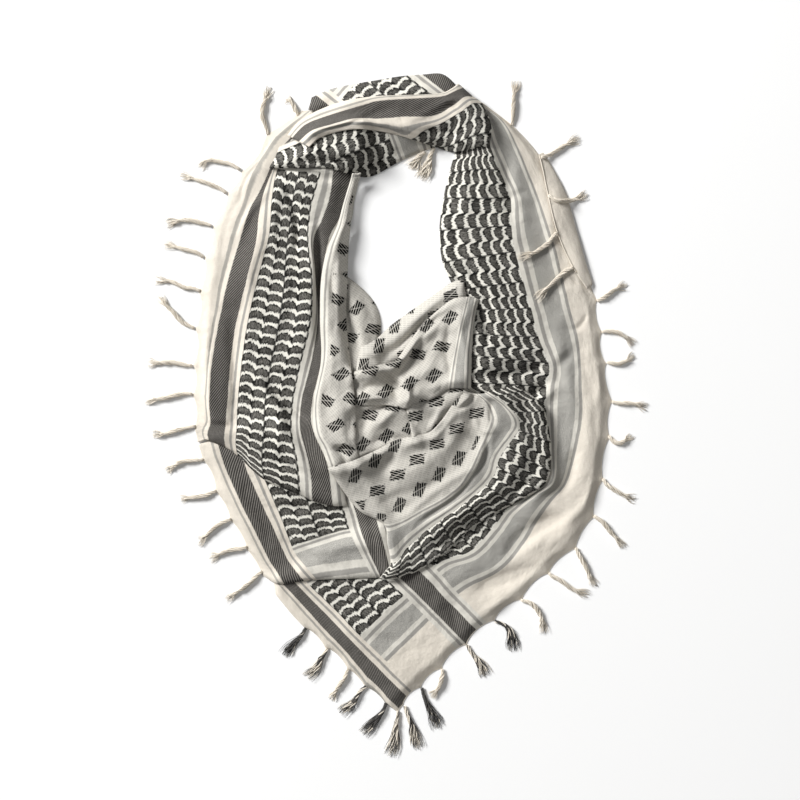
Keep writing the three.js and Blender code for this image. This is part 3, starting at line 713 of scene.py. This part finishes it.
def relief_of(name, stretch, net):
    """Height of the cloth over what it lies on: ridges, crown, creases and unevenness."""
    x, y = net[..., 0], net[..., 1]
    v, u = np.meshgrid(*(np.linspace(0, 1, n) for n in x.shape), indexing="ij")
    width = edge_distance(net[:, :1], net[:, -1:])
    height = np.zeros_like(v)
    for (v0, u0), (v1, u1), wide, high in RIDGES[name]:
        t = np.clip((v - v0) / (v1 - v0), 0, 1)
        side = np.clip(1 - np.abs(u - (u0 + (u1 - u0) * t)) * width / (wide * 0.7), 0, 1)
        inside = (v >= v0) & (v <= v1)
        form = np.sin(math.pi * t) ** 0.6 * smooth_step(side)
        height += np.where(inside, RIDGE_GAIN * high * form, 0)
    height += stretch["crown"]
    for k, (a, b, wide, high) in enumerate(CREASES[name]):
        (ax, ay), (bx, by) = plan(a), plan(b)
        length = math.hypot(bx - ax, by - ay)
        dx, dy = (bx - ax) / length, (by - ay) / length
        along = ((x - ax) * dx + (y - ay) * dy) / length
        bend = 5 * np.sin(along * math.pi * 1.6 + k)
        off = np.abs(-(x - ax) * dy + (y - ay) * dx + bend)
        fade = np.clip(along / 0.3, 0, 1) * np.clip((1 - along) / 0.3, 0, 1)
        height += CREASE_GAIN * high * smooth_step(fade) * np.exp(-((off / (wide * 0.5)) ** 2))
    seed = len(name) * 7 + ord(name[0])
    height += 1.5 * waves(x, y, seed, 60) + 0.7 * waves(x, y, seed + 1, 22)
    height = np.maximum(height, LEAST_HEIGHT)
    first, last = kinds_of(stretch)
    edges = [(first, net[:, :1]), (last, net[:, -1:]), ("fold", net[:1]), ("fold", net[-1:])]
    for kind, line in edges:
        height = height * ramp(kind, edge_distance(net, line))
    return height


def cleared(z):
    return z + GAP * np.clip(z / WALL, 0, 1)


def seat(net, need_map):
    """The lowest smooth surface that clears the map."""
    x, y = net[..., 0], net[..., 1]
    low = sample(spread_out(need_map, 3, np.mean), x, y)
    places = (0, 0.34, 0.67)
    shares = [corner_shares(a, b) for a in places for b in places]
    needs = [(w, cleared(sample(need_map, in_cells(x, w), in_cells(y, w)))) for w in shares]
    rim = cleared(sample(need_map, x, y))
    for turn in range(26):
        if 4 <= turn < 20:
            around = low[:-2, 1:-1] + low[2:, 1:-1] + low[1:-1, :-2] + low[1:-1, 2:]
            low[1:-1, 1:-1] = (4 * low[1:-1, 1:-1] + around) / 8
        raise_by = np.zeros_like(low)
        for w, need in needs:
            lack = np.maximum(0, need - in_cells(low, w)) / sum(k * k for k in w)
            for k, at in zip(w, CORNERS):
                raise_by[at] = np.maximum(raise_by[at], lack * k)
        low = np.maximum(low + raise_by, rim)
    return low


def lengths_along(edge):
    return np.concatenate([[0], np.cumsum(np.hypot(*np.diff(edge, axis=0).T))])


def nearest(edge, p):
    """Index of the edge point nearest to a plan position."""
    x, y = plan(p)
    return int(np.argmin(np.hypot(edge[:, 0] - x, edge[:, 1] - y)))


def shaped_hem(net, names):
    """The net with its first column drawn in between the tassels' roots."""
    edge = net[:, 0, :2]
    arcs = lengths_along(edge)
    marks = sorted(arcs[nearest(edge, row[0])] for n in names for row in TASSELS[n])
    pull = np.zeros(len(edge))
    for a, b in zip(marks[:-1], marks[1:]):
        if 12 < b - a < 90:
            inside = (arcs > a) & (arcs < b)
            share = (arcs[inside] - a) / (b - a)
            pull[inside] = HEM_PULL * min(1, (b - a) / 45) * np.sin(math.pi * share) ** 0.7
    away = edge_distance(net, edge[:, None])
    inward = net[:, 4, :2] - edge
    inward /= np.hypot(inward[:, 0], inward[:, 1])[:, None]
    part = np.clip(1 - away / HEM_REACH, 0, 1) ** 2
    shaped = net.copy()
    shaped[..., :2] += inward[:, None, :] * (pull[:, None] * part)[..., None]
    return shaped


def placed(name, data):
    """A new object in the scene."""
    obj = bpy.data.objects.new(name, data)
    bpy.context.scene.collection.objects.link(obj)
    return obj


def mesh_object(name, points, faces, st, slot):
    mesh = bpy.data.meshes.new(name)
    shifted = (np.asarray(points) - (ORIGIN[0], ORIGIN[1], 0)) / 1000
    mesh.from_pydata([tuple(p) for p in shifted], [], faces)
    index = np.empty(len(mesh.loops), int)
    mesh.loops.foreach_get("vertex_index", index)
    values = np.asarray(st)[index] / 100
    for layer, part in (("weave", values[:, :2]), ("motif", values[:, 2:4])):
        if part.size:
            uv = mesh.uv_layers.new(name=layer)
            uv.data.foreach_set("uv", np.ascontiguousarray(part).ravel())
    mesh.polygons.foreach_set("use_smooth", [True] * len(mesh.polygons))
    mesh.update()
    obj = placed(name, mesh)
    mesh.materials.append(materials[slot])
    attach(obj, "root")
    return obj


def shell(name, net, low, thick, slot, ring=False):
    """A closed cloth wall with rounded edges; a ring's last row joins its first."""
    rows, cols = net.shape[:2]
    top = low + thick
    x, y = net[..., 0], net[..., 1]
    flat = np.concatenate([np.dstack([x, y, z]).reshape(-1, 3) for z in (low, top)])
    st = np.tile(net[..., 2:].reshape(-1, net.shape[2] - 2), (2, 1))
    (ax, ay), (px, py), (qx, qy), (bx, by) = ((x[at], y[at]) for at in CORNERS)
    area = ((bx - ax) * (qy - py) - (by - ay) * (qx - px)).sum()
    faces = []

    def at(level, r, c):
        return level * rows * cols + r * cols + c

    def quad(*corners):
        faces.append(corners if area > 0 else corners[::-1])

    for r in range(rows if ring else rows - 1):
        s = (r + 1) % rows
        for c in range(cols - 1):
            quad(at(1, r, c), at(1, r, c + 1), at(1, s, c + 1), at(1, s, c))
            quad(at(0, r, c), at(0, s, c), at(0, s, c + 1), at(0, r, c + 1))
    first = [(r, 0) for r in range(rows)]
    last = [(r, cols - 1) for r in range(rows - 1, -1, -1)]
    if ring:
        loops = [first, last]
    else:
        end = [(rows - 1, c) for c in range(1, cols - 1)]
        start = [(0, c) for c in range(cols - 2, 0, -1)]
        loops = [first + end + last + start]
    for loop in loops:
        base, n = len(flat), len(loop)
        r, c = np.array(loop).T
        points = net[r, c, :2]
        tangent = np.roll(points, -1, 0) - np.roll(points, 1, 0)
        tangent /= np.maximum(np.hypot(tangent[:, 0], tangent[:, 1]), 1e-6)[:, None]
        out = np.stack([-tangent[:, 1], tangent[:, 0]], 1) * (1 if area > 0 else -1)
        edge = points + out * 0.4 * thick[r, c][:, None]
        flat = np.concatenate([flat, np.column_stack([edge, (low[r, c] + top[r, c]) / 2])])
        st = np.concatenate([st, net[r, c, 2:]])
        for k in range(n):
            here, after = base + k, base + (k + 1) % n
            quad(at(0, *loop[k]), here, after, at(0, *loop[(k + 1) % n]))
            quad(here, at(1, *loop[k]), at(1, *loop[(k + 1) % n]), after)
    return mesh_object(name, flat, faces, st, slot)


def tube(path, radii, sides):
    """Points and faces of a tube with closed round ends along a path."""
    run = np.gradient(path, axis=0)
    run /= np.linalg.norm(run, axis=1)[:, None]
    side = np.cross(run, (0, 0, 1.0))
    side /= np.maximum(np.linalg.norm(side, axis=1), 1e-6)[:, None]
    up = np.cross(side, run)
    n = len(path)
    angle = (np.arange(sides) * 2 * math.pi / sides)[None, :, None]
    ring = side[:, None] * np.cos(angle) + up[:, None] * np.sin(angle)
    points = (path[:, None] + ring * np.asarray(radii)[:, None, None]).reshape(-1, 3)
    start = path[0] - run[0] * radii[0] * 0.55
    end = path[-1] + run[-1] * radii[-1] * 0.55
    points = np.concatenate([points, [start, end]])
    faces = []
    sectors = [(m, (m + 1) % sides) for m in range(sides)]
    last = (n - 1) * sides
    for k in range(0, last, sides):
        faces += [(k + a, k + a + sides, k + b + sides, k + b) for a, b in sectors]
    for a, b in sectors:
        faces += [(n * sides, a, b), (n * sides + 1, last + b, last + a)]
    return points, faces


class Bunch:
    """Tubes gathered into one mesh."""

    def __init__(self):
        self.points, self.faces, self.st, self.count = [], [], [], 0

    def add(self, path, radii, sides, tone, lengthwise):
        points, faces = tube(path, radii, sides)
        self.points.append(points)
        self.faces += [tuple(self.count + v for v in face) for face in faces]
        along = np.concatenate([np.repeat(lengthwise, sides), [lengthwise[0], lengthwise[-1]]])
        self.st.append(np.stack([np.full(len(points), tone), along], 1))
        self.count += len(points)


def bezier(points, count):
    """A smooth path through root, middle and tip."""
    a, b, c = (np.asarray(p, float) for p in points)
    control = 2 * b - (a + c) / 2
    t = np.linspace(0, 1, count)[:, None]
    return (1 - t) ** 2 * a + 2 * t * (1 - t) * control + t * t * c


def resting(path, radius, below):
    """Heights at which a strand lies on the floor or on the cloth below it."""
    need = sample(below, path[:, 0], path[:, 1])
    need = need + radius + 0.15
    for _ in range(6):
        smooth = need.copy()
        smooth[1:-1] = (need[:-2] + 2 * need[1:-1] + need[2:]) / 4
        need = np.maximum(need, smooth)
    return need


# A row per kind of tassel: where it frays (share of its length), half spread and radius in mm,
# yarns, loose strands, share of charcoal yarns, and tone of the knot
TASSEL_KINDS = [
    (0.74, 5.4, 2.6, 13, 20, 0.0, 0.1),
    (0.22, 7.6, 2.4, 13, 30, 0.45, 0.3),
    (0.22, 7.2, 2.4, 13, 30, 0.84, 0.7),
    (0.16, 9.5, 2.8, 15, 30, 0.0, 0.1),
]
CREAM, CHARCOAL = 0.1, 0.9


def tassel(bunch, row, root_height, below, rng):
    """A bundle of twisted yarns, knotted at the root and frayed into a brush at the end."""
    points = [plan(p) for p in row[:3]]
    loose, spread, thick, yarns, strands, charcoal, knot_tone = TASSEL_KINDS[int(row[3])]
    length = math.dist(points[0], points[1]) + math.dist(points[1], points[2])
    count = max(14, int(length / 2.6))
    path = bezier(points, count)
    t = np.linspace(0, 1, count)
    run = np.gradient(path, axis=0)
    run /= np.hypot(run[:, 0], run[:, 1])[:, None]
    side = np.stack([-run[:, 1], run[:, 0]], 1)
    wander = rng.uniform(0.6, 1.5) * np.sin(t * rng.uniform(5, 8) + rng.uniform(0, 6))
    path = path + side * (wander * smooth_step(t / 0.3))[:, None]
    sink = np.clip(t / 0.2, 0, 1) ** 0.8
    base = resting(path, 0.2, below) * sink + root_height * (1 - sink)

    def tone():
        return CHARCOAL if rng.random() < charcoal else CREAM

    # Yarns wind round each other, gather above the frayed end and spread in it
    gather = 0.55 + 0.45 * smooth_step(t / 0.35) - 0.25 * np.exp(-(((t - loose) / 0.05) ** 2))
    part = smooth_step((t - loose) / (1 - loose))
    turns = length / rng.uniform(26, 40)
    for k in range(yarns):
        ring = (k % 2 + 1) / 2
        angle = 2 * math.pi * (k / yarns + turns * t) + rng.uniform(-0.3, 0.3)
        lean = max(-1.0, min(1.0, rng.gauss(0, 0.55)))
        off = thick * ring * gather * np.cos(angle) * (1 - 0.5 * part) + lean * spread * part
        off = off + 0.5 * np.sin(t * rng.uniform(9, 16) + k)
        high = thick * gather * (1 + ring * np.sin(angle)) * (1 - 0.35 * part)
        stop = max(6, int(count * rng.uniform(0.84, 1.0)))
        line = np.column_stack([path + side * off[:, None], base + 0.7 + high])
        radii = 0.85 * (1 - 0.35 * t)
        radii[stop - 1] *= 0.5
        bunch.add(line[:stop], radii[:stop], 5, tone(), t[:stop])

    # Loose strands of the brush
    for _ in range(strands):
        lean = max(-1.2, min(1.2, rng.gauss(0, 0.6)))
        reach_out = rng.uniform(0.95, 1.1)
        curl = rng.uniform(-1.6, 1.6)
        rise = rng.uniform(0, 1)
        f = np.linspace(loose - 0.04, reach_out, 6)
        grow = smooth_step((f - loose) / (1 - loose)) * 0.8 + 0.2
        off = lean * spread * 1.15 * grow + curl * grow**2 * np.sin(f * 9)
        past = np.maximum(f - 1, 0) * length
        centre = [np.interp(f, t, path[:, a]) + past * run[-1, a] for a in (0, 1)]
        xy = [centre[a] + np.interp(f, t, side[:, a]) * off for a in (0, 1)]
        z = np.interp(f, t, base) + 0.5 + rise * 3.4 * (1 - 0.45 * grow)
        radii = np.array([0.5, 0.5, 0.46, 0.42, 0.36, 0.2]) * rng.uniform(0.75, 1.15)
        bunch.add(np.stack([*xy, z], 1), radii, 3, tone(), f)
    knot = np.column_stack([path[1:4], base[1:4] + 1.7])
    bunch.add(knot, [1.6, 2.2, 1.5], 6, knot_tone, [0, 0.02, 0.05])


def fringe(name, edge, hem_height, below):
    """The rolled hem under the tassels of one edge, and the tassels."""
    rng = random.Random(name)
    bunch = Bunch()
    rows = TASSELS[name]
    arcs = lengths_along(edge)
    at = [nearest(edge, row[0]) for row in rows]
    first = int(np.searchsorted(arcs, arcs[min(at)] - 9))
    last = int(np.searchsorted(arcs, arcs[max(at)] + 9))
    part = slice(max(first, 0), min(last + 1, len(edge)))
    roll = np.column_stack([edge[part], hem_height[part]])
    if len(roll) > 2:
        bunch.add(roll, np.full(len(roll), 0.8), 6, CREAM, np.linspace(0, 1, len(roll)))
    for row, k in zip(rows, at):
        tassel(bunch, row, float(hem_height[k]) - 1.0, below, rng)
    points = np.concatenate(bunch.points)
    points[:, 2] = np.maximum(points[:, 2], 0.15)
    st = np.concatenate(bunch.st) * 100
    obj = mesh_object(name + "_yarn", points, bunch.faces, st, "tassel_yarn")
    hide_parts(name)
    mark(*points.T)
    return obj


def shader_of(owner, kind="BSDF_PRINCIPLED"):
    """The shader node of a new material or world."""
    owner.use_nodes = True
    return next(n for n in owner.node_tree.nodes if n.type == kind)


def new_node(tree, kind, inputs=(), **settings):
    """A node with its settings, and with its inputs as numbers, sockets or fields."""
    n = tree.nodes.new(kind)
    for key, value in settings.items():
        setattr(n, key, value)
    for key, value in inputs:
        value = getattr(value, "out", value)
        if isinstance(value, bpy.types.NodeSocket):
            tree.links.new(value, n.inputs[key])
        else:
            n.inputs[key].default_value = value
    return n


class Field:
    """A value that varies over a surface, with arithmetic."""

    def __init__(self, tree, out):
        self.tree, self.out = tree, out

    def node(self, operation, *others):
        inputs = enumerate((self, *others))
        n = new_node(self.tree, "ShaderNodeMath", inputs, operation=operation)
        return Field(self.tree, n.outputs[0])

    __add__ = partialmethod(node, "ADD")
    __sub__ = partialmethod(node, "SUBTRACT")
    __mul__ = partialmethod(node, "MULTIPLY")
    __truediv__ = partialmethod(node, "DIVIDE")
    fract = partialmethod(node, "FRACT")
    floor = partialmethod(node, "FLOOR")
    abs = partialmethod(node, "ABSOLUTE")
    power = partialmethod(node, "POWER")

    def inverse(self):
        return self * -1 + 1

    def over(self, edge, soft=0.5):
        """1 above the edge, 0 below it."""
        inputs = [("Value", self), ("From Min", edge - soft), ("From Max", edge + soft)]
        n = new_node(self.tree, "ShaderNodeMapRange", inputs, interpolation_type="SMOOTHSTEP")
        return Field(self.tree, n.outputs[0])

    def within(self, low, high, soft=0.45):
        half = (high - low) / 2
        return (self - (low + high) / 2).abs().over(half, soft).inverse()


class Cloth:
    """Nodes of one material, with the cloth's s and t as fields."""

    def __init__(self, name):
        self.material = bpy.data.materials.new(name)
        self.shader = shader_of(self.material)
        self.tree = self.material.node_tree
        self.shader.inputs["Roughness"].default_value = 0.92
        self.shader.inputs["Specular IOR Level"].default_value = 0.18
        self.s, self.t = self.spread("weave")

    def spread(self, layer):
        """The two coordinates of a layer as fields, in cloth units."""
        uv = new_node(self.tree, "ShaderNodeUVMap", uv_map=layer)
        split = new_node(self.tree, "ShaderNodeSeparateXYZ", [(0, uv.outputs[0])])
        return [Field(self.tree, split.outputs[k]) * 100 for k in (0, 1)]

    def vector(self, x, y):
        return new_node(self.tree, "ShaderNodeCombineXYZ", [(0, x), (1, y)]).outputs[0]

    def noise(self, x, y, detail=2.0, scale=1.0, rough=0.5):
        inputs = [("Scale", scale), ("Detail", detail), ("Roughness", rough)]
        inputs.append(("Vector", self.vector(x, y)))
        return Field(self.tree, new_node(self.tree, "ShaderNodeTexNoise", inputs).outputs[0])

    def random(self, x, y):
        inputs = [("Vector", self.vector(x, y))]
        n = new_node(self.tree, "ShaderNodeTexWhiteNoise", inputs, noise_dimensions="2D")
        return Field(self.tree, n.outputs["Value"])

    def colour(self, code):
        n = self.tree.nodes.new("ShaderNodeRGB")
        n.outputs[0].default_value = linear(code)
        return n.outputs[0]

    def mix(self, a, b, share):
        n = new_node(self.tree, "ShaderNodeMix", data_type="RGBA")
        sockets = {k.name: k for k in n.inputs if k.enabled}
        for end, v in (("Factor", share.out), ("A", a), ("B", b)):
            v = self.colour(v) if isinstance(v, str) else v
            self.tree.links.new(v, sockets[end])
        return next(k for k in n.outputs if k.enabled)

    def shade(self, colour, amount):
        """The colour times a field round 1."""
        inputs = [(0, colour), ("Scale", amount)]
        return new_node(self.tree, "ShaderNodeVectorMath", inputs, operation="SCALE").outputs[0]

    def finish(self, colour, height, reach):
        inputs = [("Distance", reach), ("Strength", 0.7), ("Height", height)]
        bump = new_node(self.tree, "ShaderNodeBump", inputs)
        self.tree.links.new(bump.outputs[0], self.shader.inputs["Normal"])
        self.tree.links.new(colour, self.shader.inputs["Base Color"])
        return self.material


def linear(code):
    channels = [int(code[k : k + 2], 16) / 255 for k in (1, 3, 5)]
    return [c / 12.92 if c <= 0.04045 else ((c + 0.055) / 1.055) ** 2.4 for c in channels] + [1]


# The weave, in cloth units: s in from the left fringed edge, t in from the right one
SIDE = 815  # from a fringed edge to the far one; the stripes in t run along both
EDGE = 51.5  # end of the left edge's stripes
COLUMN = (EDGE, 113)  # leaf column along the left edge, in s
CORNER = 152  # end in s of the stripes beside it
ROWS = (79, 152)  # leaf rows along the right edge, in t
INNER = 187  # end in t of the stripes beside them
LEAF_WIDE = 15.0
LEAF_PITCH = 10.6
LEAF_ARCH = 4.4
LEAF_DROP = 3.4
THREAD = 1.2
MOTIF_PITCH = 25.0
MOTIF_REACH = 7.6
MOTIF_STROKE = 2.9
MOTIF_CLEAR = 3.5  # bare ground between the motifs and the stripes
GROUND_PITCH = 2.2
TWILL_PITCH = 1.8
WEAVE_PITCH = 0.86
PALE, GREY, HEM, HEM_GREY = "#d8d4ca", "#9d9a94", "#ddd5c8", "#a8a49c"
# Stripes: from, to and tone
STRIPES_T = [(43, 47, GREY), (71.5, 75, GREY), (156, 159, GREY), (182.5, 185, GREY)]
CHAMBRAY_T = [(51.5, 67.5), (163.5, 179)]
STRIPES_S = [(117.5, 120.5, GREY), (145.5, 148.5, GREY)]
TWILL_S = (123, 140)
EDGE_STRIPES = [(16, 18.5, HEM_GREY), (44.5, 47.5, GREY)]
EDGE_TWILL = (22, 39)
HEM_END = 43


def leaves(c, s, t):
    """Leaves in pairs, the second one lower, each with a domed top under a white arch."""
    p = (s - EDGE) / LEAF_WIDE
    pair = (p * 0.5).fract()
    x = p.fract()
    # The leaves lean the other way past the corner column
    x = x + (x * -2 + 1) * s.over(150, 0.5)
    arch = (x.power(0.74) * math.pi).node("SINE").abs().power(0.78)
    cell = c.random(p.floor(), (t / LEAF_PITCH).floor())
    drop = pair.over(0.5, 0.05) * LEAF_DROP
    q = (t - arch * LEAF_ARCH + drop) / LEAF_PITCH + 0.10
    thread = c.random((s / THREAD).floor(), q.floor())
    streak = c.noise(s * 1.5, t * 0.35).over(0.5, 0.13)
    ragged = c.noise(s * 1.0, t * 0.8, 3.0) - 0.5
    depth = q.fract() + ragged * 0.34 + (thread - 0.5) * 0.13
    cusp = arch.inverse().power(1.6)
    white = depth.over(0.10, 0.05) * (depth - cusp * 0.32).over(0.365, 0.06).inverse()
    dash = pair.within(-0.02, 0.03, 0.012) + pair.within(0.975, 1.02, 0.012)
    core = depth.within(0.50, 1.02, 0.10) * (x + ragged * 0.3).within(0.14, 0.90, 0.12)
    worn = core * (cell * 0.5 + 0.35) * (streak * 0.85 + 0.15)
    leaf = c.mix("#090908", "#85827b", worn)
    leaf = c.mix(leaf, "#8f8c87", thread.over(0.8, 0.10) * 0.22)
    return c.mix(leaf, "#e0ddd3", white * (dash.node("MINIMUM", 1.0) * 0.75).inverse())


def centre_ground(c, clear):
    """Hatched lozenges on a speckled ground, each row a third of a step along."""
    u, v = c.spread("motif")
    row = (v / MOTIF_PITCH).floor()
    step = (row / 3).fract()
    mx = ((u / MOTIF_PITCH + step).fract() - 0.5) * MOTIF_PITCH
    my = ((v / MOTIF_PITCH).fract() - 0.5) * MOTIF_PITCH
    flip = ((row * 0.5).fract() * 4) - 1
    ragged = (c.noise(u * 0.42, v * 0.42, 3.0) - 0.5) * 6.5
    slant = mx + my * flip * 0.4
    away = slant.abs() * 0.78 + my.abs() * 1.05 + ragged
    lozenge = away.over(MOTIF_REACH, 0.6).inverse()
    hatch = mx + my * flip * 0.75 + ragged * 0.12
    stroke = (hatch / MOTIF_STROKE).fract().within(0.04, 0.84, 0.10)
    vein = (my + mx * 0.15).within(-0.5, 0.5, 0.35)
    motif = lozenge * stroke * (vein * 0.5).inverse()
    grain = ((u * 0.8 + v * 0.6) / GROUND_PITCH).fract().within(0.14, 0.56, 0.16)
    dashes = (u * 0.6 - v * 0.8) / (GROUND_PITCH * 1.8)
    grain = grain * dashes.fract().within(0.04, 0.84, 0.10)
    grit = c.noise(u * 1.5, v * 1.5).over(0.56, 0.10)
    ground = c.mix("#cdc9c0", "#8a867f", grain * 0.36 + grit * 0.25)
    return c.mix(ground, "#080807", motif * clear)


def woven_cloth():
    """The jacquard: hems, twill bands, chambray stripes, leaves and a small centre motif."""
    c = Cloth("woven_cloth")
    drift = c.noise(c.s * 0.05, c.t * 0.05, 3.0) - 0.5
    jitter = c.noise(c.s * 0.35, c.t * 0.35 + 40) - 0.5
    s = c.s + drift * 1.6 + jitter * 0.7
    t = c.t + drift * -1.6 + jitter * 0.7
    leaf = leaves(c, s, t)
    t = (t - SIDE / 2).abs() * -1 + SIDE / 2
    centre = centre_ground(c, s.over(CORNER + MOTIF_CLEAR) * t.over(INNER + MOTIF_CLEAR))
    twill = ((c.s * 0.86 - c.t * 0.52) / TWILL_PITCH).fract().within(0.1, 0.46, 0.16)
    twill_mix = c.noise(s * 0.6, t * 0.6)
    dark = c.mix("#363432", "#9a958e", twill * (twill_mix * 0.8 + 0.35))
    speck = c.noise(s * 1.5, t * 1.5, 3.0).over(0.52, 0.14)
    chambray = c.mix("#92908a", "#c1beb7", speck)

    def striped(base, across, stripes):
        base = c.colour(base)
        for low, high, tone in stripes:
            base = c.mix(base, tone, across.within(low, high))
        return base

    field = c.mix(centre, leaf, t.within(*ROWS) * s.over(CORNER))
    field = c.mix(field, leaf, s.within(*COLUMN) * t.over(ROWS[0]))
    outer = striped(PALE, t, STRIPES_T)
    for low, high in CHAMBRAY_T:
        outer = c.mix(outer, chambray, t.within(low, high))
    outer = c.mix(outer, HEM, t.over(HEM_END).inverse())
    field = c.mix(field, outer, t.over(ROWS[0]).inverse())
    field = c.mix(field, outer, t.within(ROWS[1], INNER))
    band = c.mix(striped(PALE, s, STRIPES_S), dark, s.within(*TWILL_S))
    field = c.mix(field, band, s.within(COLUMN[1], CORNER))
    edge = c.mix(striped(HEM, s, EDGE_STRIPES), dark, s.within(*EDGE_TWILL))
    field = c.mix(field, edge, s.over(EDGE).inverse())

    slub = c.noise(c.s * 0.25, c.t * 2.2) * 0.5 + c.noise(c.s * 2.2, c.t * 0.25) * 0.5
    mottle = c.noise(c.s * 0.06, c.t * 0.06 + 9, 3.0)
    field = c.shade(field, (slub - 0.5) * 0.40 + (mottle - 0.5) * 0.12 + 1.0)
    warp, weft = ((v * (2 * math.pi / WEAVE_PITCH)).node("SINE") for v in (c.s, c.t))
    crumple = c.noise(c.s * 0.09, c.t * 0.09 + 70, 4.0, rough=0.6)
    height = warp * weft * 0.06 + slub * 0.35 + crumple * 1.6
    return c.finish(field, height, 0.0022)


def hidden_cloth():
    """The plain underlayers."""
    c = Cloth("hidden_cloth")
    slub = c.noise(c.s * 0.4, c.t * 2.2)
    colour = c.shade(c.mix("#cfcbc2", "#bdb9b0", slub), slub * 0.1 + 0.95)
    return c.finish(colour, slub, 0.001)


def tassel_yarn():
    """Twisted yarn: u is the tone, from cream to charcoal, and v runs along it."""
    c = Cloth("tassel_yarn")
    tone = c.s / 100
    fibre = c.noise(c.t * 0.02, c.t * 1.3, 3.0, scale=3.0)
    cream = c.mix("#f0e9dc", "#dacfbe", fibre)
    charcoal = c.mix("#3a3938", "#5b5957", fibre)
    colour = c.mix(cream, charcoal, tone.over(0.45, 0.35))
    return c.finish(colour, fibre, 0.0006)


materials = {make.__name__: make() for make in (woven_cloth, hidden_cloth, tassel_yarn)}


def hidden_layers():
    """One rounded solid for the layers that no view shows, ringed round the neck opening."""
    ring = np.array([[*inner, *outer, high] for inner, outer, high in CORE_RING])
    rows = []
    for k in range(len(ring)):
        four = [ring[(k + d) % len(ring)] for d in (-1, 0, 1, 2)]
        for t in np.arange(6) / 6:
            row = curve(four, t)
            row[4] = four[1][4] + (four[2][4] - four[1][4]) * t
            rows.append(row)
    rows = np.array(rows)
    share = np.linspace(0, 1, 15)
    high = np.interp(share, [0, 0.14, 0.45, 0.78, 1], [0.3, 0.82, 1, 0.86, 0.25])
    inner, outer = (np.stack(plan(rows.T[k : k + 2]), 1) for k in (0, 2))
    xy = inner[:, None] + (outer - inner)[:, None] * share[None, :, None]
    folds = 1 - 0.06 * waves(xy[..., 0], xy[..., 1], 3, 50)
    top = rows[:, 4][:, None] * high[None] * folds
    net = np.dstack([xy, xy / UNIT, xy / UNIT])
    obj = shell("hidden_layers_cloth", net, np.zeros_like(top), top, "hidden_cloth", ring=True)
    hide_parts("hidden_layers")
    mark_net(*(np.concatenate([v, v[:1]]) for v in (net, top)))


# The tassels along the first line of a stretch
HEMS = {
    "right_drape": ["fringe_point_right", "fringe_right", "fringe_shoulder"],
    "left_apron": ["fringe_left_apron"],
    "left_drape": ["fringe_left_drape"],
}


def lay_stretch(name):
    """One stretch of the cloth on what lies below it, and its tassels."""
    table_of = STRETCHES[name]
    plain = net_of(table_of)
    net = plain
    if name in HEMS:
        net = shaped_hem(net, HEMS[name])
    if name == "right_drape":
        net = shaped_hem(net.transpose(1, 0, 2), ["fringe_point_left"]).transpose(1, 0, 2)
    before = heights.copy()
    need = spread_out(spread_out(before, 2, np.max), 1, np.mean)
    low = seat(net, need) + relief_of(name, table_of, plain)
    thick = np.full(low.shape, WALL)
    if kinds_of(table_of)[0] == "hem":
        away = edge_distance(plain, plain[:, :1])
        thick = HEM_WALL + (WALL - HEM_WALL) * np.clip(away / HEM_FADE, 0, 1)
    obj = shell(name + "_cloth", net, low, thick, "woven_cloth")
    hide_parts(name)
    mark_net(net, low + thick)
    edge = net[:, 0, :2]
    middle = low + HEM_WALL / 2
    yarns = [fringe(f, edge, middle[:, 0], before) for f in HEMS.get(name, [])]
    if name == "right_drape":
        yarns.append(fringe("fringe_point_left", net[0, :, :2], middle[0], before))
    if name == "neck_lower":
        yarns.append(fringe("fringe_neck", net[:, -1, :2], middle[:, -1], before))
    if name == "right_flap":
        yarns.append(fringe("fringe_flap", edge, low[:, 0] + HEM_WALL + 0.6, heights.copy()))
    return obj, yarns


hidden_layers()
laid = {name: lay_stretch(name) for name in STRETCHES}

# Floor, light and camera, in metres
FLOOR = 3.0
floor_mesh = bpy.data.meshes.new("floor")
corners = [(-FLOOR, -FLOOR, 0), (FLOOR, -FLOOR, 0), (FLOOR, FLOOR, 0), (-FLOOR, FLOOR, 0)]
floor_mesh.from_pydata(corners, [], [(0, 1, 2, 3)])
floor = placed("floor", floor_mesh)
paper = bpy.data.materials.new("floor")
paper_shader = shader_of(paper)
paper_shader.inputs["Base Color"].default_value = (0.96, 0.96, 0.955, 1)
paper_shader.inputs["Roughness"].default_value = 0.95
floor_mesh.materials.append(paper)


def area_light(name, size, power, place):
    """A square light at place, turned to the middle of the part."""
    data = bpy.data.lights.new(name, "AREA")
    data.shape = "SQUARE"
    data.size = size
    data.energy = power
    obj = placed(name, data)
    obj.location = place
    x, y, z = place
    obj.rotation_euler = (math.atan2(math.hypot(x, y), z), 0, math.atan2(x, -y))


area_light("key", 3.4, 1700, (-7.2, 4.8, 5.4))
area_light("fill", 5.0, 50, (2.0, -1.2, 5.6))
world = bpy.data.worlds.new("studio")
bpy.context.scene.world = world
sky = shader_of(world, "BACKGROUND")
sky.inputs["Color"].default_value = (1, 1, 1, 1)
sky.inputs["Strength"].default_value = 0.13
bpy.context.scene.view_settings.view_transform = "Standard"

CAMERA_HIGH = 4.0
FRAME_WIDE = 1.12
SENSOR = 36
camera_data = bpy.data.cameras.new("camera")
camera_data.sensor_width = SENSOR
camera_data.lens = SENSOR * CAMERA_HIGH / FRAME_WIDE
camera = placed("camera", camera_data)
camera.location = (0.00484, 0.0185, CAMERA_HIGH)
bpy.context.scene.camera = camera
